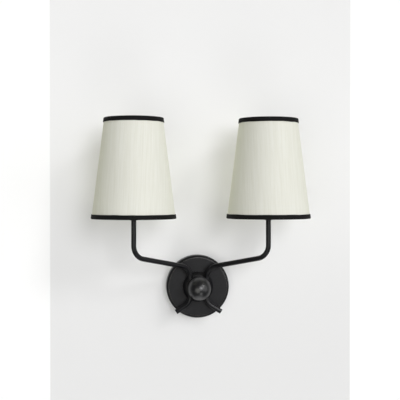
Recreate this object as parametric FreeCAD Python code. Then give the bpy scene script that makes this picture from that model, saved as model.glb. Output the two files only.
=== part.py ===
"""Double arm wall sconce: a round wall plate, two bent tube arms held in a hub behind a ball
finial, and a candle lamp holder with a tapered fabric shade on each arm.

Lengths are in millimetres. +X is to the right, +Z is up and the wall is the plane Y = 0.
The lamp stands out of the wall towards -Y. The origin is the centre of the wall plate, on the
wall. "Depth" below means the distance from the wall, so a depth d lies at Y = -d.
"""

import FreeCAD, Part
import math
import os

V = FreeCAD.Vector

# ---------------------------------------------------------------- wall plate, boss and hub
plate_radius = 52.0
plate_depth = 21.5
plate_wall = 1.2
plate_shoulder = 4.0
face_step = 0.8
face_radius = 47.8
face_edge_round = 0.4
boss_base_radius = 25.0
boss_top_radius = 20.5
boss_height = 7.5
boss_base_edge = 1.2
hub_radius = 19.5
hub_back_cover = 2.0
hub_front_cover = 2.5
hub_edge_round = 0.8
hub_screw_offset = 9.4
hub_screw_radius = 1.25
hub_screw_head_radius = 2.2
hub_screw_head_depth = 1.4
hub_screw_end_cover = 2.0
pin_radius = 1.5
pin_offset = 14.0
pin_depth_in_hub = 3.0

# ---------------------------------------------------------------- ball finial and its rod
ball_radius = 19.0
ball_cut = 11.7
ball_thread_length = 11.0
ball_bore_spare = 2.0
finial_washer_radius = 12.0
finial_washer_thickness = 0.8
rod_radius = 5.0
rod_bore_radius = 3.4
rod_wall_gap = 1.5
rod_nut_across_flats = 17.0
rod_nut_height = 3.0

# ---------------------------------------------------------------- wall bracket
bracket_half_length = 45.0
bracket_half_width = 11.0
bracket_thickness = 2.0
bracket_rise = 5.0
bracket_raised_half = 20.0
bracket_slope = 4.0
slot_offset = 35.0
slot_radius = 2.25
slot_length = 10.0
terminal_tab_half = 12.0
terminal_tab_height = 20.0
cable_tab_half = 16.0
cable_tab_height = 16.0
cable_hole_radius = 4.5
cable_hole_x = -7.0
cable_hole_drop = 19.0
earth_screw_x = 8.5
earth_screw_radius = 2.0
earth_screw_tail = 1.8
earth_head_radius = 3.8
earth_head_height = 2.6
earth_washer_radius = 4.6
earth_washer_thickness = 0.8

# ---------------------------------------------------------------- terminal block and wires
pole_pitch = 8.0
pole_count = 3
block_height = 16.0
block_depth = 11.0
block_gap_above_bracket = 2.0
block_edge_round = 1.0
pole_hole_radius = 2.1
pole_hole_depth = 5.0
pole_screw_radius = 1.7
pole_screw_height = 2.0
pole_screw_inset = 4.0
block_screw_radius = 1.4
block_screw_head_radius = 2.2
block_screw_head_height = 1.8
wire_radius = 1.8
wire_passage_radius = 2.5
wire_bend_radius = 4.0
wire_depth_in_plate = 12.5
bush_radius = 3.4
bush_flange_radius = 4.6
bush_flange_thickness = 1.0

# ---------------------------------------------------------------- bent tube arms
tube_radius = 4.0
tube_wall = 1.0
arm_offset_at_hub = 13.3
shade_reach = 106.5
shade_projection = 92.5
elbow_height = 54.5
inner_bend_height = 33.0
lower_bend_height = -24.5
tail_reach = 37.0
tail_drop = 39.7
elbow_bend_radius = 22.0
inner_bend_radius = 22.0
lower_bend_radius = 19.0
plug_length = 6.0

# ---------------------------------------------------------------- shade
shade_bottom_height = 115.0
shade_height = 158.0
shade_bottom_radius = 67.0
shade_top_radius = 47.0
trim_height = 7.2
trim_thickness = 1.1
trim_inner_height = 5.0
fabric_thickness = 0.6
liner_thickness = 0.5
frame_wire_radius = 1.3
fitter_hole_clearance = 0.5
fitter_ring_width = 5.5
fitter_ring_thickness = 1.5
spoke_count = 3
spoke_radius = 1.2
first_spoke_angle = 90.0

# ---------------------------------------------------------------- cup and lamp holder
cup_radius = 14.0
cup_wall = 1.0
cup_height = 16.0
cup_drop = 3.5
base_neck_radius = 6.5
base_neck_height = 4.5
base_flange_drop = 3.0
base_rise_over_cup = 3.5
base_cavity_radius = 8.0
tube_end_in_base = 6.5
skirt_radius = 14.0
skirt_length = 26.0
skirt_rise = 3.0
holder_floor = 2.0
contact_space_radius = 6.6
contact_space_height = 4.0
shell_radius = 7.7
shell_length = 21.0
contact_stud_radius = 2.8
contact_foot_radius = 3.6
contact_foot_height = 0.8
contact_stem_radius = 1.6
contact_head_radius = 2.6
contact_head_height = 1.2
ring_radius = 17.5
lower_ring_height = 2.6
upper_ring_height = 4.0
ring_seat_gap = 0.3
ring_washer_thickness = 0.6
ring_washer_radius = 17.0

# ---------------------------------------------------------------- bulb
cap_radius = 7.0
cap_length = 18.0
cap_taper = 2.5
cap_end_radius = 4.0
button_radius = 2.4
button_height = 1.7
contact_gap_below_button = 5.8
glass_radius = 17.5
glass_length = 78.0
glass_widest = 36.0
glass_neck_radius = 6.4
glass_tip_radius = 3.6
glass_wall = 0.8
glass_neck_flare = 1.5
glass_neck_hold = 0.3
glass_belly_hold = 0.6
glass_cheek_hold = 0.55

# ---------------------------------------------------------------- clearances
thread_clearance = 0.05
push_clearance = 0.05
seat_clearance = 0.30
glue_gap = 0.05
same_size = 0.01

# ---------------------------------------------------------------- values that follow
shoulder_depth = plate_depth - face_step
plate_inside_depth = shoulder_depth - plate_wall
hub_back_depth = plate_depth + boss_height
arm_depth = hub_back_depth + hub_back_cover + tube_radius
hub_front_depth = arm_depth + tube_radius + hub_front_cover
ball_flat_depth = hub_front_depth + finial_washer_thickness
ball_depth = ball_flat_depth + ball_cut
bracket_front = bracket_rise + bracket_thickness
block_bottom = bracket_half_width + block_gap_above_bracket
block_front = bracket_front + block_depth
tube_bore = tube_radius - tube_wall

shade_taper = (shade_bottom_radius - shade_top_radius) / shade_height
shade_slant = math.hypot(1.0, shade_taper)
trim_step = (trim_thickness + glue_gap) * shade_slant
fabric_step = (fabric_thickness + glue_gap) * shade_slant
liner_step = liner_thickness * shade_slant
wire_step = (frame_wire_radius + glue_gap) * shade_slant

cup_bottom = shade_bottom_height - cup_drop
cup_centre = cup_bottom + cup_radius
cup_rim = cup_bottom + cup_height
cup_inside_radius = cup_radius - cup_wall
base_bottom = cup_centre - math.sqrt(cup_inside_radius**2 - base_neck_radius**2) + seat_clearance
base_flange_radius = cup_inside_radius - 2 * seat_clearance
base_flange_bottom = cup_rim - base_flange_drop
base_top = cup_rim + base_rise_over_cup
tube_top = base_bottom + tube_end_in_base
skirt_bottom = base_top + skirt_rise
holder_top = skirt_bottom + skirt_length
contact_floor = base_top + holder_floor
shell_bottom = contact_floor + contact_space_height
button_bottom = contact_floor + contact_gap_below_button
cap_bottom = button_bottom + button_height
cap_top = cap_bottom + cap_taper + cap_length
lower_ring_bottom = skirt_bottom + ring_seat_gap
fitter_bottom = lower_ring_bottom + lower_ring_height
ring_washer_bottom = fitter_bottom + fitter_ring_thickness
upper_ring_bottom = ring_washer_bottom + ring_washer_thickness
fitter_hole_radius = skirt_radius + fitter_hole_clearance
fitter_outer_radius = fitter_hole_radius + fitter_ring_width

sides = {"left": -1, "right": 1}


# ================================================================ shared shapes
def turned_up(outline):
    """Turn an outline of (radius, height) points about the upright axis."""
    points = [V(radius, 0, height) for radius, height in outline]
    face = Part.Face(Part.makePolygon(points + points[:1]))
    return face.revolve(V(0, 0, 0), V(0, 0, 1), 360)


def turned_out(outline):
    """Turn an outline of (radius, depth) points about the axis square to the wall."""
    points = [V(radius, -depth, 0) for radius, depth in outline]
    face = Part.Face(Part.makePolygon(points + points[:1]))
    return face.revolve(V(0, 0, 0), V(0, 1, 0), 360)


def post(radius, bottom, top, x=0.0, y=0.0):
    """An upright cylinder from one height to another."""
    return Part.makeCylinder(radius, top - bottom, V(x, y, bottom), V(0, 0, 1))


def stud(radius, back, front, x=0.0, z=0.0):
    """A cylinder square to the wall, from one depth to a greater one."""
    return Part.makeCylinder(radius, front - back, V(x, -back, z), V(0, -1, 0))


def hexagon_nut(across_flats, bore, back, front):
    """A hexagon nut square to the wall."""
    corner = across_flats / math.sqrt(3)
    points = [V(corner * math.cos(math.radians(60 * n)), -back, corner * math.sin(math.radians(60 * n)))
              for n in range(6)]
    blank = Part.Face(Part.makePolygon(points + points[:1])).extrude(V(0, back - front, 0))
    return blank.cut(stud(bore, back - 1, front + 1))


def rounded(shape, radius, wanted):
    """Round the edges of a shape for which wanted(edge) is true."""
    return shape.makeFillet(radius, [edge for edge in shape.Edges if wanted(edge)])


def ring_edge_at(depth, radius):
    """A test for a round edge of one radius at one depth."""
    def test(edge):
        curve = edge.Curve
        return (isinstance(curve, Part.Circle) and abs(curve.Radius - radius) < same_size
                and abs(curve.Center.y + depth) < same_size)
    return test


def bent_path(points, radii):
    """A wire of straight runs through the points, with a tangent arc at each inner point."""
    edges, start = [], points[0]
    for before, corner, after, radius in zip(points, points[1:], points[2:], radii):
        inward = (before - corner).normalize()
        outward = (after - corner).normalize()
        half = inward.getAngle(outward) / 2
        reach = radius / math.tan(half)
        middle = (inward + outward).normalize() * (radius / math.sin(half) - radius)
        arc_start, arc_end = corner + inward * reach, corner + outward * reach
        edges.append(Part.LineSegment(start, arc_start).toShape())
        edges.append(Part.Arc(arc_start, corner + middle, arc_end).toShape())
        start = arc_end
    edges.append(Part.LineSegment(start, points[-1]).toShape())
    return Part.Wire(edges)


def pipe(path, radius):
    """A round bar of one radius along a path, square at both ends."""
    first = path.OrderedEdges[0]
    start = first.valueAt(first.FirstParameter)
    along = first.tangentAt(first.FirstParameter)
    ring = Part.Wire(Part.makeCircle(radius, start, along))
    return path.makePipeShell([ring], True, False)


def mirrored(shape, side):
    """The shape itself on the right, and its mirror image on the left."""
    return shape if side > 0 else shape.mirror(V(0, 0, 0), V(1, 0, 0))


# ================================================================ wall plate and hub
def wire_holes(radius, back, front):
    """The pair of holes that the wires run through, in line with the arms."""
    return [stud(radius, back, front, side * arm_offset_at_hub) for side in sides.values()]


def pin_holes(back, front):
    """The pair of holes for the locating pins, above and below the rod."""
    return [stud(pin_radius + push_clearance, back, front, 0, up * pin_offset) for up in (-1, 1)]


def backplate():
    """A pan with a rounded shoulder and a slightly raised round face, open towards the wall."""
    pan = stud(plate_radius, 0, shoulder_depth)
    pan = rounded(pan, plate_shoulder, ring_edge_at(shoulder_depth, plate_radius))
    hollow = stud(plate_radius - plate_wall, -1, plate_inside_depth)
    inner_round = max(plate_shoulder - plate_wall, plate_wall / 2)
    hollow = rounded(hollow, inner_round, ring_edge_at(plate_inside_depth, plate_radius - plate_wall))
    face = stud(face_radius, shoulder_depth - plate_wall / 2, plate_depth)
    face = rounded(face, min(face_edge_round, face_step / 2), ring_edge_at(plate_depth, face_radius))
    shape = pan.fuse(face).cut(hollow)
    holes = [stud(rod_radius + push_clearance, 0, plate_depth + 1)]
    holes += wire_holes(bush_radius + push_clearance, 0, plate_depth + 1)
    holes += pin_holes(0, plate_depth + 1)
    return shape.cut(holes)


def boss():
    """The low cone between the plate and the hub."""
    front = plate_depth + boss_height
    shape = turned_out([(0, plate_depth), (boss_base_radius, plate_depth),
                        (boss_base_radius, plate_depth + boss_base_edge),
                        (boss_top_radius, front), (0, front)])
    shape = rounded(shape, boss_base_edge / 2, ring_edge_at(front, boss_top_radius))
    holes = [stud(rod_radius + push_clearance, plate_depth - 1, front + 1)]
    holes += wire_holes(wire_passage_radius, plate_depth - 1, front + 1)
    holes += pin_holes(plate_depth - 1, front + 1)
    return shape.cut(holes)


def arm_grooves():
    """Two upright bars the size of the arms' tubes, to cut the hub's grooves."""
    groove_radius = tube_radius + push_clearance
    return [post(groove_radius, -hub_radius - 1, hub_radius + 1, side * arm_offset_at_hub, -arm_depth)
            for side in sides.values()]


def hub_screw_bores(clearance):
    """The two small screws that hold the halves of the hub together, with their heads."""
    end = hub_front_depth - hub_screw_end_cover
    head_front = hub_back_depth + hub_screw_head_depth
    bodies = []
    for up in (-1, 1):
        shank = stud(hub_screw_radius + clearance, hub_back_depth, end + clearance, 0, up * hub_screw_offset)
        head = Part.makeCone(hub_screw_head_radius + clearance, hub_screw_radius + clearance,
                             head_front - hub_back_depth, V(0, -hub_back_depth, up * hub_screw_offset),
                             V(0, -1, 0))
        bodies.append(shank.fuse(head).removeSplitter())
    return bodies


def hub_back():
    """The half of the hub that seats on the boss, with the wire passages."""
    shape = stud(hub_radius, hub_back_depth, arm_depth)
    holes = arm_grooves() + wire_holes(wire_passage_radius, hub_back_depth - 1, arm_depth)
    holes += pin_holes(hub_back_depth - 1, hub_back_depth + pin_depth_in_hub)
    holes += hub_screw_bores(push_clearance)
    holes += [stud(rod_radius + push_clearance, hub_back_depth - 1, arm_depth + 1)]
    return shape.cut(holes)


def hub_front():
    """The half of the hub that closes over the arms, under the ball."""
    shape = stud(hub_radius, arm_depth, hub_front_depth)
    shape = rounded(shape, hub_edge_round, ring_edge_at(hub_front_depth, hub_radius))
    holes = arm_grooves() + hub_screw_bores(push_clearance)
    holes += [stud(rod_radius + push_clearance, arm_depth - 1, hub_front_depth + 1)]
    return shape.cut(holes)


def hub_screws():
    """Two countersunk screws that draw the hub halves together."""
    return Part.makeCompound(hub_screw_bores(0))


def locating_pins():
    """Two pins that stop the hub from turning on the plate."""
    front = hub_back_depth + pin_depth_in_hub
    pins = [stud(pin_radius, plate_inside_depth, front, 0, up * pin_offset) for up in (-1, 1)]
    return Part.makeCompound(pins)


# ================================================================ finial and threaded rod
def threaded_rod():
    """The hollow threaded rod that ties the ball to the wall bracket."""
    front = ball_flat_depth + ball_thread_length
    shape = stud(rod_radius, rod_wall_gap, front)
    return shape.cut(stud(rod_bore_radius, rod_wall_gap - 1, front + 1))


def rod_nuts():
    """One nut behind the bracket's raised middle and one in front of it."""
    bore = rod_radius + thread_clearance
    behind = hexagon_nut(rod_nut_across_flats, bore, bracket_rise - rod_nut_height, bracket_rise)
    ahead = hexagon_nut(rod_nut_across_flats, bore, bracket_front, bracket_front + rod_nut_height)
    return Part.makeCompound([behind, ahead])


def finial_washer():
    """The thin washer between the ball and the hub."""
    shape = stud(finial_washer_radius, hub_front_depth, ball_flat_depth)
    return shape.cut(stud(rod_radius + thread_clearance, hub_front_depth - 1, ball_flat_depth + 1))


def ball():
    """The ball, cut flat where it seats and bored for the threaded rod."""
    shape = Part.makeSphere(ball_radius, V(0, -ball_depth, 0))
    shape = shape.common(stud(ball_radius + 1, ball_flat_depth, ball_depth + ball_radius + 1))
    bore_end = ball_flat_depth + ball_thread_length + ball_bore_spare
    return shape.cut(stud(rod_radius + thread_clearance, ball_flat_depth - 1, bore_end))


# ================================================================ wall bracket and terminals
def bracket_strip():
    """The joggled strip: two flat ends on the wall and a raised middle."""
    low, high = bracket_raised_half + bracket_slope, bracket_raised_half
    front = [(-bracket_half_length, bracket_thickness), (-low, bracket_thickness),
             (-high, bracket_front), (high, bracket_front), (low, bracket_thickness),
             (bracket_half_length, bracket_thickness)]
    back = [(bracket_half_length, 0), (low, 0), (high, bracket_rise), (-high, bracket_rise),
            (-low, 0), (-bracket_half_length, 0)]
    points = [V(x, -depth, -bracket_half_width) for x, depth in front + back]
    face = Part.Face(Part.makePolygon(points + points[:1]))
    return face.extrude(V(0, 0, 2 * bracket_half_width))


def slot_cutter(x):
    """A slot along X through a flat end of the bracket."""
    half = slot_length / 2 - slot_radius
    middle = Part.makeBox(2 * half, bracket_thickness + 2, 2 * slot_radius,
                          V(x - half, -bracket_thickness - 1, -slot_radius))
    ends = [stud(slot_radius, -1, bracket_thickness + 1, x + end * half) for end in (-1, 1)]
    return middle.fuse(ends)


def wall_bracket():
    """The steel bracket that is screwed to the wall and holds the threaded rod."""
    terminal_tab = Part.makeBox(2 * terminal_tab_half, bracket_thickness, terminal_tab_height,
                                V(-terminal_tab_half, -bracket_front, bracket_half_width))
    cable_tab = Part.makeBox(2 * cable_tab_half, bracket_thickness, cable_tab_height,
                             V(-cable_tab_half, -bracket_front, -bracket_half_width - cable_tab_height))
    shape = bracket_strip().fuse([terminal_tab, cable_tab]).removeSplitter()
    cuts = [slot_cutter(side * slot_offset) for side in sides.values()]
    cuts += [stud(rod_radius + thread_clearance, 0, bracket_front + 1),
             stud(cable_hole_radius, 0, bracket_front + 1, cable_hole_x, -cable_hole_drop),
             stud(earth_screw_radius + thread_clearance, 0, bracket_front + 1,
                  earth_screw_x, -cable_hole_drop),
             stud(block_screw_radius + thread_clearance, 0, bracket_front + 1,
                  pole_pitch / 2, block_bottom + block_height / 2)]
    return shape.cut(cuts)


def earth_washer():
    """The washer under the earth screw's head."""
    front = bracket_front + earth_washer_thickness
    shape = stud(earth_washer_radius, bracket_front, front, earth_screw_x, -cable_hole_drop)
    hole = stud(earth_screw_radius + push_clearance, bracket_front - 1, front + 1,
                earth_screw_x, -cable_hole_drop)
    return shape.cut(hole)


def earth_screw():
    """The slotted screw that clamps the earth wire to the bracket."""
    seat = bracket_front + earth_washer_thickness
    top = seat + earth_head_height
    shank = stud(earth_screw_radius, bracket_rise - earth_screw_tail, seat, earth_screw_x, -cable_hole_drop)
    head = stud(earth_head_radius, seat, top, earth_screw_x, -cable_hole_drop)
    slot_width = earth_screw_radius / 2
    slot = Part.makeBox(2 * earth_head_radius + 1, earth_head_height / 2, slot_width,
                        V(earth_screw_x - earth_head_radius - 0.5, -top, -cable_hole_drop - slot_width / 2))
    return shank.fuse(head).cut(slot)


def pole_places():
    """The x of each pole of the terminal block, from left to right."""
    first = -pole_pitch * (pole_count - 1) / 2
    return [first + pole_pitch * n for n in range(pole_count)]


def pole_screw_places():
    """The x, z of each terminal screw: one near each end of every pole."""
    low = block_bottom + pole_screw_inset
    high = block_bottom + block_height - pole_screw_inset
    return [(x, z) for x in pole_places() for z in (low, high)]


def terminal_block():
    """The three-pole block on the bracket's upper tab, with a wire hole at both ends of a pole."""
    half = pole_pitch * pole_count / 2
    shape = Part.makeBox(2 * half, block_depth, block_height, V(-half, -block_front, block_bottom))
    shape = rounded(shape, block_edge_round, lambda edge: abs(edge.tangentAt(edge.FirstParameter).z) > 0.9)
    cuts = [post(pole_hole_radius, end - pole_hole_depth, end + pole_hole_depth, x, -wire_depth_in_plate)
            for x in pole_places() for end in (block_bottom, block_bottom + block_height)]
    screw_floor = block_front - 2 * pole_screw_height
    cuts += [stud(pole_screw_radius + push_clearance, screw_floor, block_front + 1, x, z)
             for x, z in pole_screw_places()]
    middle = block_bottom + block_height / 2
    head_floor = block_front - 2 * block_screw_head_height
    cuts += [stud(block_screw_radius + push_clearance, bracket_front - 1, block_front,
                  pole_pitch / 2, middle),
             stud(block_screw_head_radius + push_clearance, head_floor, block_front + 1,
                  pole_pitch / 2, middle)]
    return shape.cut(cuts)


def terminal_screws():
    """The six terminal screws, sunk in the front of the block."""
    floor = block_front - 2 * pole_screw_height
    screws = []
    for x, z in pole_screw_places():
        head = stud(pole_screw_radius, floor, floor + pole_screw_height, x, z)
        slot = Part.makeBox(2 * pole_screw_radius + 1, pole_screw_height / 2, pole_screw_radius / 2,
                            V(x - pole_screw_radius - 0.5, -floor - pole_screw_height,
                              z - pole_screw_radius / 4))
        screws.append(head.cut(slot))
    return Part.makeCompound(screws)


def block_screw():
    """The screw that fixes the terminal block to the bracket's tab."""
    middle = block_bottom + block_height / 2
    floor = block_front - 2 * block_screw_head_height
    shank = stud(block_screw_radius, bracket_rise, floor, pole_pitch / 2, middle)
    head = stud(block_screw_head_radius, floor, floor + block_screw_head_height, pole_pitch / 2, middle)
    return shank.fuse(head)


def wire_bushes():
    """Two flanged bushes that line the plate's wire holes."""
    back = plate_inside_depth - bush_flange_thickness
    bushes = []
    for side in sides.values():
        x = side * arm_offset_at_hub
        flange = stud(bush_flange_radius, back, plate_inside_depth, x)
        sleeve = stud(bush_radius, plate_inside_depth, plate_depth, x)
        hole = stud(wire_radius + 2 * push_clearance, back - 1, plate_depth + 1, x)
        bushes.append(flange.fuse(sleeve).cut(hole))
    return Part.makeCompound(bushes)


# ================================================================ arms
def arm_corners():
    """The corners of the right arm's centre line, from the lamp holder down to the tail."""
    return [V(shade_reach, -shade_projection, tube_top),
            V(shade_reach, -shade_projection, elbow_height),
            V(arm_offset_at_hub, -arm_depth, inner_bend_height),
            V(arm_offset_at_hub, -arm_depth, lower_bend_height),
            V(tail_reach, -arm_depth, -tail_drop)]


def arm(side):
    """One bent tube: upright stem, sloping arm, straight stretch in the hub and curved tail."""
    path = bent_path(arm_corners(), [elbow_bend_radius, inner_bend_radius, lower_bend_radius])
    shape = pipe(path, tube_radius).cut(pipe(path, tube_bore))
    back_hole = stud(wire_passage_radius, arm_depth - tube_radius - 1, arm_depth, arm_offset_at_hub)
    return mirrored(shape.cut(back_hole), side)


def tail_plug(side):
    """The plug that closes the end of an arm's tail, flush with the tube."""
    before, end = arm_corners()[-2:]
    along = (end - before).normalize()
    shape = Part.makeCylinder(tube_bore - push_clearance, plug_length, end - along * plug_length, along)
    return mirrored(shape, side)


def flex(side):
    """The flex from the terminal block, through the hub and up inside the arm to the holder."""
    hub_corner = V(arm_offset_at_hub, -arm_depth, 0)
    path = bent_path(
        [V(pole_places()[-1], -wire_depth_in_plate, block_bottom),
         V(arm_offset_at_hub, -wire_depth_in_plate, 0), hub_corner,
         V(arm_offset_at_hub, -arm_depth, inner_bend_height),
         V(shade_reach, -shade_projection, elbow_height),
         V(shade_reach, -shade_projection, base_top)],
        [wire_bend_radius, wire_bend_radius, inner_bend_radius, elbow_bend_radius])
    return mirrored(pipe(path, wire_radius), side)


# ================================================================ lamp holders
def at_holder(shape, side):
    """Move a shape built on the Z axis to the axis of one lamp holder."""
    moved = shape.copy()
    moved.translate(V(side * shade_reach, -shade_projection, 0))
    return moved


def cup():
    """The round-bottomed metal cup that the lamp holder stands in."""
    outer = Part.makeSphere(cup_radius, V(0, 0, cup_centre))
    outer = outer.common(post(cup_radius + 1, cup_bottom - 1, cup_centre))
    outer = outer.fuse(post(cup_radius, cup_centre, cup_rim))
    inner = Part.makeSphere(cup_inside_radius, V(0, 0, cup_centre))
    inner = inner.common(post(cup_radius + 1, cup_bottom - 1, cup_centre))
    inner = inner.fuse(post(cup_inside_radius, cup_centre, cup_rim + 1))
    return outer.cut(inner).cut(post(tube_radius + push_clearance, cup_bottom - 1, cup_centre))


def holder_base():
    """The lower cap of the lamp holder, screwed onto the end of the arm."""
    neck_top = base_bottom + base_neck_height
    outline = [(tube_radius + thread_clearance, base_bottom), (base_neck_radius, base_bottom),
               (base_neck_radius, neck_top), (base_flange_radius, base_flange_bottom),
               (base_flange_radius, base_top), (base_cavity_radius, base_top),
               (base_cavity_radius, tube_top + seat_clearance),
               (tube_radius + thread_clearance, tube_top + seat_clearance)]
    return turned_up(outline)


def holder_body():
    """The upper part of the lamp holder, with the threaded skirt that carries the shade."""
    outline = [(contact_stud_radius + push_clearance, base_top), (base_flange_radius, base_top),
               (base_flange_radius, skirt_bottom), (skirt_radius, skirt_bottom),
               (skirt_radius, holder_top), (shell_radius + push_clearance, holder_top),
               (shell_radius + push_clearance, shell_bottom), (contact_space_radius, shell_bottom),
               (contact_space_radius, contact_floor), (contact_stud_radius + push_clearance, contact_floor)]
    return turned_up(outline)


def screw_shell():
    """The brass shell that the bulb screws into."""
    inner = cap_radius + thread_clearance
    outline = [(inner, shell_bottom), (shell_radius, shell_bottom),
               (shell_radius, shell_bottom + shell_length), (inner, shell_bottom + shell_length)]
    return turned_up(outline)


def centre_contact():
    """The sprung contact under the bulb, on the floor of the holder."""
    foot_top = contact_floor + contact_foot_height
    head_bottom = button_bottom - contact_head_height
    outline = [(0, base_top), (contact_stud_radius, base_top), (contact_stud_radius, contact_floor),
               (contact_foot_radius, contact_floor), (contact_foot_radius, foot_top),
               (contact_stem_radius, foot_top), (contact_stem_radius, head_bottom),
               (contact_head_radius, head_bottom), (contact_head_radius, button_bottom),
               (0, button_bottom)]
    return turned_up(outline)


def threaded_ring(bottom, height):
    """A plain round shade ring on the holder's threaded skirt."""
    outline = [(skirt_radius + thread_clearance, bottom), (ring_radius, bottom),
               (ring_radius, bottom + height), (skirt_radius + thread_clearance, bottom + height)]
    return turned_up(outline)


def ring_washer():
    """The fibre washer between the shade fitting and the upper ring."""
    inner = skirt_radius + thread_clearance
    return turned_up([(inner, ring_washer_bottom), (ring_washer_radius, ring_washer_bottom),
                      (ring_washer_radius, upper_ring_bottom), (inner, upper_ring_bottom)])


# ================================================================ bulbs
def bulb_button():
    """The contact at the foot of the bulb's cap."""
    return post(button_radius, button_bottom, cap_bottom)


def bulb_cap():
    """The metal screw cap of the bulb, filled as the cemented cap is."""
    shoulder = cap_bottom + cap_taper
    return turned_up([(0, cap_bottom), (cap_end_radius, cap_bottom), (cap_radius, shoulder),
                      (cap_radius, cap_top), (0, cap_top)])


def candle_form(inset):
    """The solid inside of the candle outline, drawn in by an inset.

    Each "hold" is the share of the height over which the curve keeps its first direction.
    """
    widest = V(glass_radius - inset, 0, cap_top + glass_widest)
    neck = V(glass_neck_radius - inset, 0, cap_top + inset)
    tip = V(0, 0, cap_top + glass_length - inset)
    foot = V(0, 0, neck.z)
    above = glass_length - glass_widest
    lower = Part.BezierCurve()
    lower.setPoles([neck, neck + V(glass_neck_flare, 0, glass_neck_hold * glass_widest),
                    widest - V(0, 0, glass_belly_hold * glass_widest), widest])
    upper = Part.BezierCurve()
    upper.setPoles([widest, widest + V(0, 0, glass_cheek_hold * above), tip + V(glass_tip_radius, 0, 0), tip])
    edges = [lower.toShape(), upper.toShape(),
             Part.LineSegment(tip, foot).toShape(), Part.LineSegment(foot, neck).toShape()]
    return Part.Face(Part.Wire(edges)).revolve(V(0, 0, 0), V(0, 0, 1), 360)


def bulb_glass():
    """The candle-shaped glass envelope, hollow inside."""
    return candle_form(0).cut(candle_form(glass_wall))


# ================================================================ shades
def shade_radius(height):
    """The radius of the cone through the outer edges of both trims."""
    return shade_bottom_radius - shade_taper * (height - shade_bottom_height)


def cone_shell(bottom, top, outer_step, inner_step):
    """A tapered shell between two steps inwards from the trims' cone."""
    return turned_up([(shade_radius(bottom) - outer_step, bottom), (shade_radius(top) - outer_step, top),
                      (shade_radius(top) - inner_step, top), (shade_radius(bottom) - inner_step, bottom)])


def shade_fabric():
    """The fabric cone over the liner, between the folds of the trims."""
    inside = trim_step + fabric_thickness * shade_slant
    return cone_shell(shade_bottom_height + trim_thickness + glue_gap,
                      shade_bottom_height + shade_height - trim_thickness - glue_gap, trim_step, inside)


def shade_liner():
    """The stiff lining that the fabric is bonded to."""
    outside = trim_step + fabric_step
    return cone_shell(shade_bottom_height + trim_thickness + glue_gap,
                      shade_bottom_height + shade_height - trim_thickness - glue_gap,
                      outside, outside + liner_step)


def wire_centre(height):
    """The radius of the centre line of a frame wire that lies inside the liner at a height."""
    return shade_radius(height) - trim_step - fabric_step - liner_step - wire_step


def frame_wire(height):
    """A round wire ring at a height."""
    return Part.makeTorus(wire_centre(height), frame_wire_radius, V(0, 0, height))


bottom_wire_height = shade_bottom_height + trim_thickness + glue_gap + frame_wire_radius
top_wire_height = shade_bottom_height + shade_height - trim_thickness - glue_gap - frame_wire_radius


def trim(edge, into):
    """A ribbon folded over an edge of the shade: outside, over the edge and up the inside.

    edge is the height of the shade's edge, and into is 1 where the shade lies above it.
    """
    fold = edge + into * trim_thickness
    outer_end = edge + into * trim_height
    inner_end = edge + into * trim_inner_height
    outer_skin = trim_thickness * shade_slant
    inner_face = trim_step + fabric_step + liner_step + 2 * wire_step
    inner_skin = inner_face + trim_thickness * shade_slant / 2
    outline = [(shade_radius(edge), edge), (shade_radius(outer_end), outer_end),
               (shade_radius(outer_end) - outer_skin, outer_end), (shade_radius(fold) - outer_skin, fold),
               (shade_radius(fold) - inner_face, fold), (shade_radius(inner_end) - inner_face, inner_end),
               (shade_radius(inner_end) - inner_skin, inner_end), (shade_radius(edge) - inner_skin, edge)]
    return turned_up(outline)


def spokes(radius, short_of_wire):
    """Round bars from the fitting ring out and down to the bottom wire."""
    inner_end = V(fitter_outer_radius - spoke_radius, 0, (fitter_bottom + ring_washer_bottom) / 2)
    wire_middle = V(wire_centre(bottom_wire_height), 0, bottom_wire_height)
    along = wire_middle - inner_end
    bar = Part.makeCylinder(radius, along.Length - short_of_wire, inner_end, along)
    bars = []
    for n in range(spoke_count):
        turned = bar.copy()
        turned.rotate(V(0, 0, 0), V(0, 0, 1), first_spoke_angle + 360.0 * n / spoke_count)
        bars.append(turned)
    return bars


def fitter():
    """The fitting ring and the spokes that carry the shade's bottom wire."""
    ring = post(fitter_outer_radius, fitter_bottom, ring_washer_bottom)
    ring = ring.cut(post(fitter_hole_radius, fitter_bottom - 1, ring_washer_bottom + 1))
    return ring.fuse(spokes(spoke_radius, frame_wire_radius + glue_gap))


def bottom_trim():
    """The lower ribbon, notched where the spokes pass through its inner fold."""
    return trim(shade_bottom_height, 1).cut(spokes(spoke_radius + glue_gap, 0))


def top_trim():
    """The upper ribbon."""
    return trim(shade_bottom_height + shade_height, -1)


# ================================================================ write the nodes
def save(name, shape):
    """Check a shape and write it as one node."""
    assert shape.isValid() and shape.Volume > 0, name
    shape.exportStep("parts/" + name + ".step")
    print(f"{name:22s} {len(shape.Solids)} solid  {shape.Volume / 1000:8.3f} cm3")


def save_middle():
    """Write the pieces on the lamp's middle axis and behind the plate."""
    save("wall_bracket", wall_bracket())
    save("earth_washer", earth_washer())
    save("earth_screw", earth_screw())
    save("terminal_block", terminal_block())
    save("terminal_screws", terminal_screws())
    save("block_screw", block_screw())
    save("threaded_rod", threaded_rod())
    save("rod_nuts", rod_nuts())
    save("backplate", backplate())
    save("wire_bushes", wire_bushes())
    save("boss", boss())
    save("locating_pins", locating_pins())
    save("hub_back", hub_back())
    save("hub_front", hub_front())
    save("hub_screws", hub_screws())
    save("finial_washer", finial_washer())
    save("finial_ball", ball())


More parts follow.
